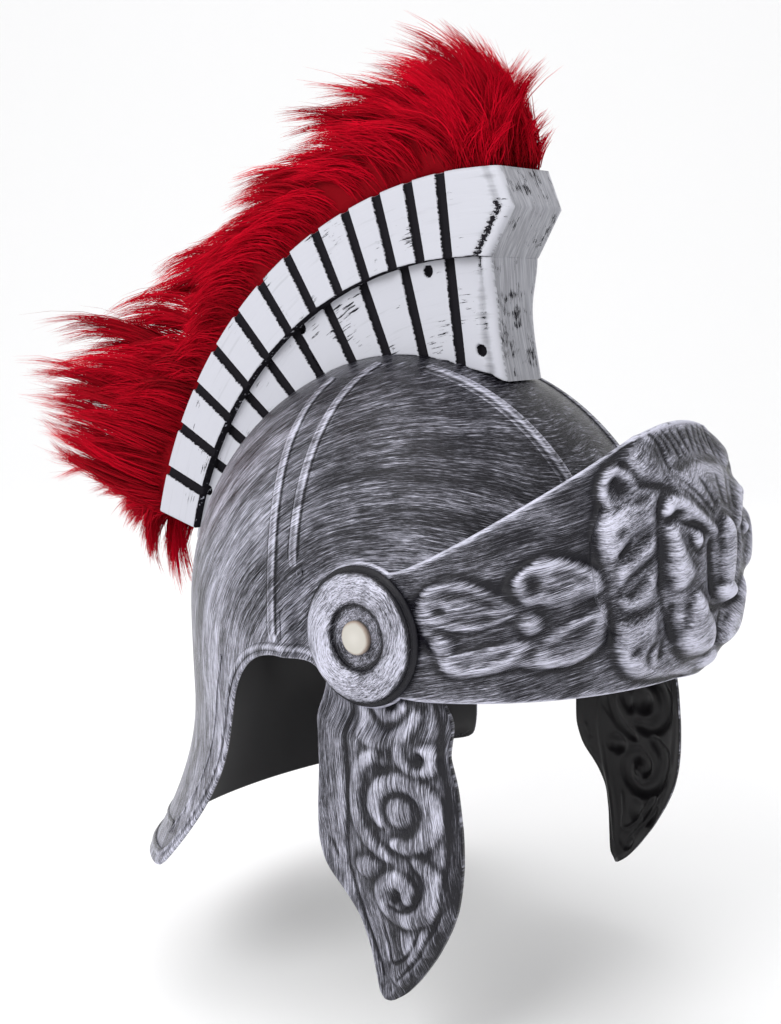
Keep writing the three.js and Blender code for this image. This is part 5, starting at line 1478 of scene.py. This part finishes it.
def brushed_finish(name, dark, silver, amount, contrast=1.0, sway_reach=4.5, short=1.0):
    """Black plastic under streaks of silver paint. The streaks are noise stretched along the paint
    direction, pushed up on raised edges and down in hollows by the dry brush and, on some pieces, by
    painted light and shade. Sway bends them, and short cuts them into shorter strokes."""
    finish = Finish(name)
    place = finish.attribute("strokes", "Vector")
    wear_and_shade = finish.attribute("wear_and_shade")
    tone_and_shade = finish.attribute("tone_and_shade")
    sway = finish.noise(place, 1.0, (0.03, 0.03, 0.03), 1.0)
    shift = finish.node("ShaderNodeVectorMath", operation="MULTIPLY_ADD")
    finish.join(sway, shift.inputs[0])
    shift.inputs[1].default_value = (0, sway_reach, 0)
    finish.join(place, shift.inputs[2])
    place = shift.outputs[0]
    broad = finish.noise(place, 1.0, (0.014, 0.11, 0.02), 3.0)
    streak = finish.noise(place, 1.0, (0.055 * short, 1.9, 0.1), 5.0, 0.75)
    hair = finish.noise(place, 1.0, (0.2 * short, 5.4, 0.3), 2.0, 0.75)
    patch = finish.noise(place, 1.0, (0.07, 0.1, 0.08), 4.0, 0.65)
    value = finish.math("MULTIPLY_ADD", broad, 1.0, -0.5)
    for source, weight in ((streak, 2.1), (hair, 1.9), (patch, 0.6)):
        value = finish.added(value, source, weight)
    value = finish.math("MULTIPLY", value, contrast)
    for source, weight in ((wear_and_shade, 1.5), (tone_and_shade, 0.9)):
        value = finish.added(value, source, weight)
    value = finish.math("ADD", value, amount, clamp=True)
    low = tuple(mix(a, b, 0.13) for a, b in zip(dark, silver))
    half = tuple(mix(a, b, 0.4) for a, b in zip(dark, silver))
    bright = tuple(min(1.0, 1.5 * b) for b in silver)
    stops = [(0.22, dark), (0.42, low), (0.6, half), (0.82, silver), (1.0, bright)]
    finish.put("Base Color", finish.ramp(value, stops, smooth=False))
    finish.put("Metallic", finish.math("MULTIPLY", value, 0.5))
    finish.put("Roughness", finish.math("MULTIPLY_ADD", value, 0.2, 0.24))
    finish.put("Specular IOR Level", 0.24)
    grain = finish.math("ADD", streak, finish.math("MULTIPLY", hair, 0.7))
    finish.bump(grain, 0.0005, 0.6)
    return finish.material


def inside_finish(name):
    """Bare black plastic with a soft gloss and faint flow marks."""
    finish = Finish(name)
    place = finish.node("ShaderNodeTexCoord").outputs["Object"]
    flow = finish.noise(place, 18.0, (1, 1, 0.3), 2.0)
    stops = [(0.3, (0.006, 0.0055, 0.0065)), (0.7, (0.011, 0.01, 0.0115))]
    finish.put("Base Color", finish.ramp(flow, stops))
    finish.put("Roughness", finish.math("MULTIPLY_ADD", flow, 0.12, 0.24))
    finish.put("Specular IOR Level", 0.22)
    finish.bump(flow, 0.0004, 0.3)
    return finish.material


def crest_finish(name, silver):
    """Bright silver paint over black plastic. Nicks and worn edges show the plastic where the noise
    passes a limit, and the slots are bare. The pin holes are black, partly as bare plastic and partly
    as painted shade inside them, and the paint is darker where the tone value is low, which is painted
    shade on the end faces and along the groove behind the front edge."""
    finish = Finish(name)
    place = finish.attribute("strokes", "Vector")
    wear_and_shade = finish.attribute("wear_and_shade")
    tone_and_shade = finish.attribute("tone_and_shade")
    nick = finish.noise(place, 1.0, (0.07, 0.85, 0.3), 5.0, 0.75)
    spot = finish.noise(place, 1.0, (0.05, 0.05, 0.05), 2.0)
    ragged = finish.noise(place, 1.0, (0.45, 0.9, 0.6), 4.0, 0.7)
    value = finish.math("ADD", finish.math("MULTIPLY", nick, 0.75), finish.math("MULTIPLY", spot, 0.65))
    limit = finish.math("MULTIPLY_ADD", tone_and_shade, 0.12, 0.78)
    clean = finish.math("LESS_THAN", value, limit)
    edge = finish.added(wear_and_shade, ragged, 1.5)
    clean = finish.math("MULTIPLY", clean, finish.math("GREATER_THAN", edge, 0.62))
    soft = finish.noise(place, 1.0, (0.02, 0.4, 0.2), 4.0)
    shade = finish.math("MULTIPLY_ADD", tone_and_shade, 0.9, finish.math("MULTIPLY_ADD", soft, 0.9, -0.36), clamp=True)
    paint = finish.ramp(shade, [(0.15, tuple(0.5 * c for c in silver)), (0.55, silver)], smooth=False)
    blend = finish.node("ShaderNodeMix", data_type="RGBA")
    finish.join(clean, blend.inputs["Factor"])
    blend.inputs["A"].default_value = (0.014, 0.013, 0.016, 1)
    finish.join(paint, blend.inputs["B"])
    finish.put("Base Color", blend.outputs["Result"])
    finish.put("Roughness", finish.math("MULTIPLY_ADD", clean, -0.2, 0.6))
    finish.put("Specular IOR Level", finish.math("MULTIPLY", clean, 0.3))
    finish.bump(finish.math("ADD", soft, finish.math("MULTIPLY", clean, 0.8)), 0.00025, 0.5)
    return finish.material


def fur_finish(name, root_shade, bright, sheen):
    """Dyed fibre, painted darker towards its roots as shade among the hairs and bright at its tips, with
    a faint sheen.
    """
    finish = Finish(name)
    tone_and_shade = finish.attribute("tone_and_shade")
    darkest_shade = tuple(0.25 * c for c in root_shade)
    stops = [(0.0, darkest_shade), (0.35, root_shade), (0.9, bright)]
    finish.put("Base Color", finish.ramp(tone_and_shade, stops, smooth=False))
    finish.put("Roughness", 0.8)
    finish.put("Specular IOR Level", 0.06)
    finish.put("Sheen Weight", sheen)
    finish.put("Sheen Tint", (1.0, 0.02, 0.06, 1))
    return finish.material


def rivet_finish(name):
    """Warm grey plastic, darker and coppery towards its rim."""
    finish = Finish(name)
    tone_and_shade = finish.attribute("tone_and_shade")
    place = finish.node("ShaderNodeTexCoord").outputs["Object"]
    cloud = finish.noise(place, 220.0)
    stops = [(0.0, (0.5, 0.48, 0.44)), (0.8, (0.44, 0.42, 0.38)), (1.0, (0.28, 0.22, 0.18))]
    finish.put("Base Color", finish.ramp(finish.added(tone_and_shade, cloud, 0.2), stops))
    finish.put("Roughness", 0.4)
    finish.bump(cloud, 0.0002, 0.3)
    return finish.material


def finishes_of(context):
    """All finishes by name, made once."""
    look = context.scene.helmet_look
    dark, silver = tuple(look.plastic), tuple(look.silver)
    made = {
        "brushed": lambda: brushed_finish("brushed_silver", dark, silver, look.paint),
        "mask": lambda: brushed_finish("brushed_mask", dark, silver, look.paint - 0.03, 0.8, 3.0, 3.4),
        "disc": lambda: brushed_finish("brushed_disc", dark, silver, look.paint + 0.08, 0.85, 2.0, 0.8),
        "inside": lambda: inside_finish("black_plastic"),
        "crest": lambda: crest_finish("crest_silver", tuple(look.crest)),
        "rivet": lambda: rivet_finish("rivet_cream"),
        "pile": lambda: fur_finish("fur_backing", tuple(look.fur_root_shade), tuple(look.fur_bright), 0.0),
        "fur": lambda: fur_finish("crimson_fur", tuple(look.fur_root_shade), tuple(look.fur_bright), 0.1),
    }
    for name, make in made.items():
        key = f"helmet_{name}"
        if key not in bpy.data.materials:
            make().name = key
    return {name: bpy.data.materials[f"helmet_{name}"] for name in made}


class HelmetLook(bpy.types.PropertyGroup):
    """Colours of the plastic, the paint and the fur."""

    plastic: FloatVectorProperty(name="Plastic", description="Black base plastic", subtype="COLOR",
                                 default=(0.0072, 0.0068, 0.0105))
    silver: FloatVectorProperty(name="Silver", description="Dry-brushed silver paint", subtype="COLOR",
                                default=(0.4, 0.4, 0.475))
    crest: FloatVectorProperty(name="Crest silver", description="Bright paint of the crest holder",
                               subtype="COLOR", default=(0.47, 0.475, 0.525))
    paint: FloatProperty(name="Paint", description="How much silver lies on the plastic", default=0.47,
                         min=0, max=1)
    # The fur colour near the roots is painted shade among the hairs.
    fur_root_shade: FloatVectorProperty(name="Deep fur", description="Fur colour near the roots", subtype="COLOR",
                                  default=(0.24, 0.0002, 0.005))
    fur_bright: FloatVectorProperty(name="Bright fur", description="Fur colour at the tips", subtype="COLOR",
                                    default=(0.66, 0.0004, 0.018))


class HelmetShape(bpy.types.PropertyGroup):
    """Heights of the relief and the amount of fur."""

    ridge_rise: FloatProperty(name="Ridge rise", description="Height of the ridges on the dome",
                              unit="LENGTH", default=0.0012, min=0)
    mask_base: FloatProperty(name="Mask swell", description="Share of the swell under the mask's carving",
                             default=0.46, min=0, max=1)
    mask_relief: FloatProperty(name="Mask relief", description="Scale of the carved mask",
                               default=0.66, min=0)
    leaf_relief: FloatProperty(name="Leaf relief", description="Scale of the carved leaves",
                               default=0.8, min=0)
    scroll_relief: FloatProperty(name="Scroll relief", description="Scale of the cheek scrolls",
                                 default=0.85, min=0)
    clumps: IntProperty(name="Clumps", description="Clumps of hair in the plume", default=620, min=10)
    strands: IntProperty(name="Strands", description="Hairs of the plume", default=40000, min=300)


class HelmetStage(bpy.types.PropertyGroup):
    """Camera, floor and lights."""

    lens: FloatProperty(name="Lens", description="Focal length on a 36 mm frame", default=49.22, min=1)
    floor: FloatProperty(name="Floor", description="Gap between the helmet's lowest point and the floor",
                         unit="LENGTH", default=0.03, min=0)
    key: FloatProperty(name="Key light", description="Power of the large key light in watts", default=10,
                       min=0)
    fill: FloatProperty(name="Surround", description="Strength of the pale surround", default=0.88, min=0)


class HELMET_OT_stage(bpy.types.Operator):
    """Camera at the photograph's angle, a pale floor that curves up behind, and soft studio light"""

    bl_idname = "helmet.stage"
    bl_label = "Stage"

    def execute(self, context):
        stage = context.scene.helmet_stage
        camera_data = bpy.data.cameras.new("photo_camera")
        camera_data.lens = stage.lens
        camera_data.sensor_width = 36
        camera = bpy.data.objects.new("photo_camera", camera_data)
        azimuth, elevation = math.radians(CAMERA_AZIMUTH), math.radians(CAMERA_ELEVATION)
        back = Vector((math.sin(azimuth) * math.cos(elevation), -math.cos(azimuth) * math.cos(elevation),
                       math.sin(elevation)))
        right = Vector((math.cos(azimuth), math.sin(azimuth), 0))
        up = back.cross(right)
        turned_to = Matrix((right, up, back)).transposed().to_4x4()
        camera.matrix_world = Matrix.Translation(CAMERA_PLACE) @ turned_to
        context.scene.collection.objects.link(camera)
        context.scene.camera = camera

        level = cad_box[0][2] - stage.floor
        share = np.linspace(-1, 1, FLOOR_ROWS)
        away = Vector((-back.x, -back.y, 0)).normalized()
        wide = Vector((away.y, -away.x, 0))
        run = np.linspace(0, 1, FLOOR_COLUMNS)
        turn = np.clip((run - 0.55) / 0.2, 0, 1) * np.pi / 2
        along = np.where(run < 0.55, mix(FLOOR_NEAR, FLOOR_FLAT, run / 0.55),
                         FLOOR_FLAT + FLOOR_BEND * np.sin(turn))
        height = np.where(run < 0.55, 0, FLOOR_BEND * (1 - np.cos(turn)))
        height = height + FLOOR_WALL * np.clip((run - 0.75) / 0.25, 0, 1)
        points = (
            np.array(away)[None, None] * along[:, None, None]
            + np.array(wide)[None, None] * FLOOR_HALF_WIDTH * share[None, :, None]
            + np.array([0, 0, 1])[None, None] * (height + level)[:, None, None]
        )
        mesh = bpy.data.meshes.new("floor")
        faces = grid_faces(FLOOR_COLUMNS, FLOOR_ROWS)[:, ::-1]
        mesh.from_pydata(points.reshape(-1, 3).tolist(), [], faces.tolist())
        mesh.polygons.foreach_set("use_smooth", np.full(len(mesh.polygons), True))
        floor = bpy.data.objects.new("floor", mesh)
        context.scene.collection.objects.link(floor)
        finish = Finish("pale_floor")
        finish.put("Base Color", (0.96, 0.96, 0.965, 1))
        finish.put("Roughness", 0.9)
        mesh.materials.append(finish.material)

        world = bpy.data.worlds.new("studio")
        world.use_nodes = True
        shade = world.node_tree.nodes["Background"]
        shade.inputs["Color"].default_value = (1, 1, 1, 1)
        shade.inputs["Strength"].default_value = stage.fill
        context.scene.world = world
        middle = Vector(LIGHT_TARGET)
        for name, place, size, share in LIGHTS:
            data = bpy.data.lights.new(name, "AREA")
            data.shape = "DISK"
            data.size = size
            data.energy = stage.key * share
            light = bpy.data.objects.new(name, data)
            light.location = place
            light.rotation_euler = (Vector(place) - middle).to_track_quat("Z", "Y").to_euler()
            context.scene.collection.objects.link(light)
        context.scene.view_settings.view_transform = "Standard"
        return {"FINISHED"}


class HELMET_OT_skull(bpy.types.Operator):
    """Skull with its neck guard, ridges and rolled rim"""

    bl_idname = "helmet.skull"
    bl_label = "Skull"

    def execute(self, context):
        make_skull(context.scene.helmet_shape, finishes_of(context))
        return {"FINISHED"}


class HELMET_OT_visor(bpy.types.Operator):
    """Visor with the lion mask and the leaves"""

    bl_idname = "helmet.visor"
    bl_label = "Visor"

    def execute(self, context):
        make_visor(context.scene.helmet_shape, finishes_of(context))
        return {"FINISHED"}


class HELMET_OT_cheek_guards(bpy.types.Operator):
    """Both cheek guards with their scrolls"""

    bl_idname = "helmet.cheek_guards"
    bl_label = "Cheek guards"

    def execute(self, context):
        for side, name in ((-1, "cheek_guard_right"), (1, "cheek_guard_left")):
            make_cheek_guard(side, name, context.scene.helmet_shape, finishes_of(context))
        return {"FINISHED"}


class HELMET_OT_temple_pivots(bpy.types.Operator):
    """Temple discs and rivets"""

    bl_idname = "helmet.temple_pivots"
    bl_label = "Temple pivots"

    def execute(self, context):
        for side, name in ((-1, "right"), (1, "left")):
            make_temple_pivot(side, name, finishes_of(context))
        return {"FINISHED"}


class HELMET_OT_crest_holder(bpy.types.Operator):
    """Crest holder with its slots, pin holes and plume channel"""

    bl_idname = "helmet.crest_holder"
    bl_label = "Crest holder"

    def execute(self, context):
        make_crest_holder(finishes_of(context))
        return {"FINISHED"}


class HELMET_OT_plume(bpy.types.Operator):
    """Fur plume: a thick backing pile, its strands and the longer locks"""

    bl_idname = "helmet.plume"
    bl_label = "Plume"

    def execute(self, context):
        make_plume(context.scene.helmet_shape, finishes_of(context))
        return {"FINISHED"}


class HELMET_PT_panel(bpy.types.Panel):
    """Lists the helmet's settings and its makers"""

    bl_idname = "HELMET_PT_panel"
    bl_label = "Helmet"
    bl_space_type = "VIEW_3D"
    bl_region_type = "UI"
    bl_category = "Helmet"

    def draw(self, context):
        """Rows for the settings and a button for each maker."""
        for group in (context.scene.helmet_look, context.scene.helmet_shape, context.scene.helmet_stage):
            column = self.layout.column()
            for name in group.__annotations__:
                column.prop(group, name)
        for operator in OPERATORS:
            self.layout.operator(operator.bl_idname)


OPERATORS = (
    HELMET_OT_stage,
    HELMET_OT_skull,
    HELMET_OT_visor,
    HELMET_OT_cheek_guards,
    HELMET_OT_temple_pivots,
    HELMET_OT_crest_holder,
    HELMET_OT_plume,
)
GROUPS = (HelmetLook, HelmetShape, HelmetStage)


def register():
    """Makes the settings, the makers and the panel known to Blender."""
    for group in (*GROUPS, *OPERATORS, HELMET_PT_panel):
        bpy.utils.register_class(group)
    bpy.types.Scene.helmet_look = PointerProperty(type=HelmetLook)
    bpy.types.Scene.helmet_shape = PointerProperty(type=HelmetShape)
    bpy.types.Scene.helmet_stage = PointerProperty(type=HelmetStage)


def unregister():
    """Takes them back in reverse."""
    del bpy.types.Scene.helmet_stage
    del bpy.types.Scene.helmet_shape
    del bpy.types.Scene.helmet_look
    for group in reversed((*GROUPS, *OPERATORS, HELMET_PT_panel)):
        bpy.utils.unregister_class(group)


def main():
    """Builds the whole helmet."""
    register()
    bpy.ops.helmet.stage()
    bpy.ops.helmet.skull()
    bpy.ops.helmet.visor()
    bpy.ops.helmet.cheek_guards()
    bpy.ops.helmet.temple_pivots()
    bpy.ops.helmet.crest_holder()
    bpy.ops.helmet.plume()


if __name__ == "__main__":
    main()
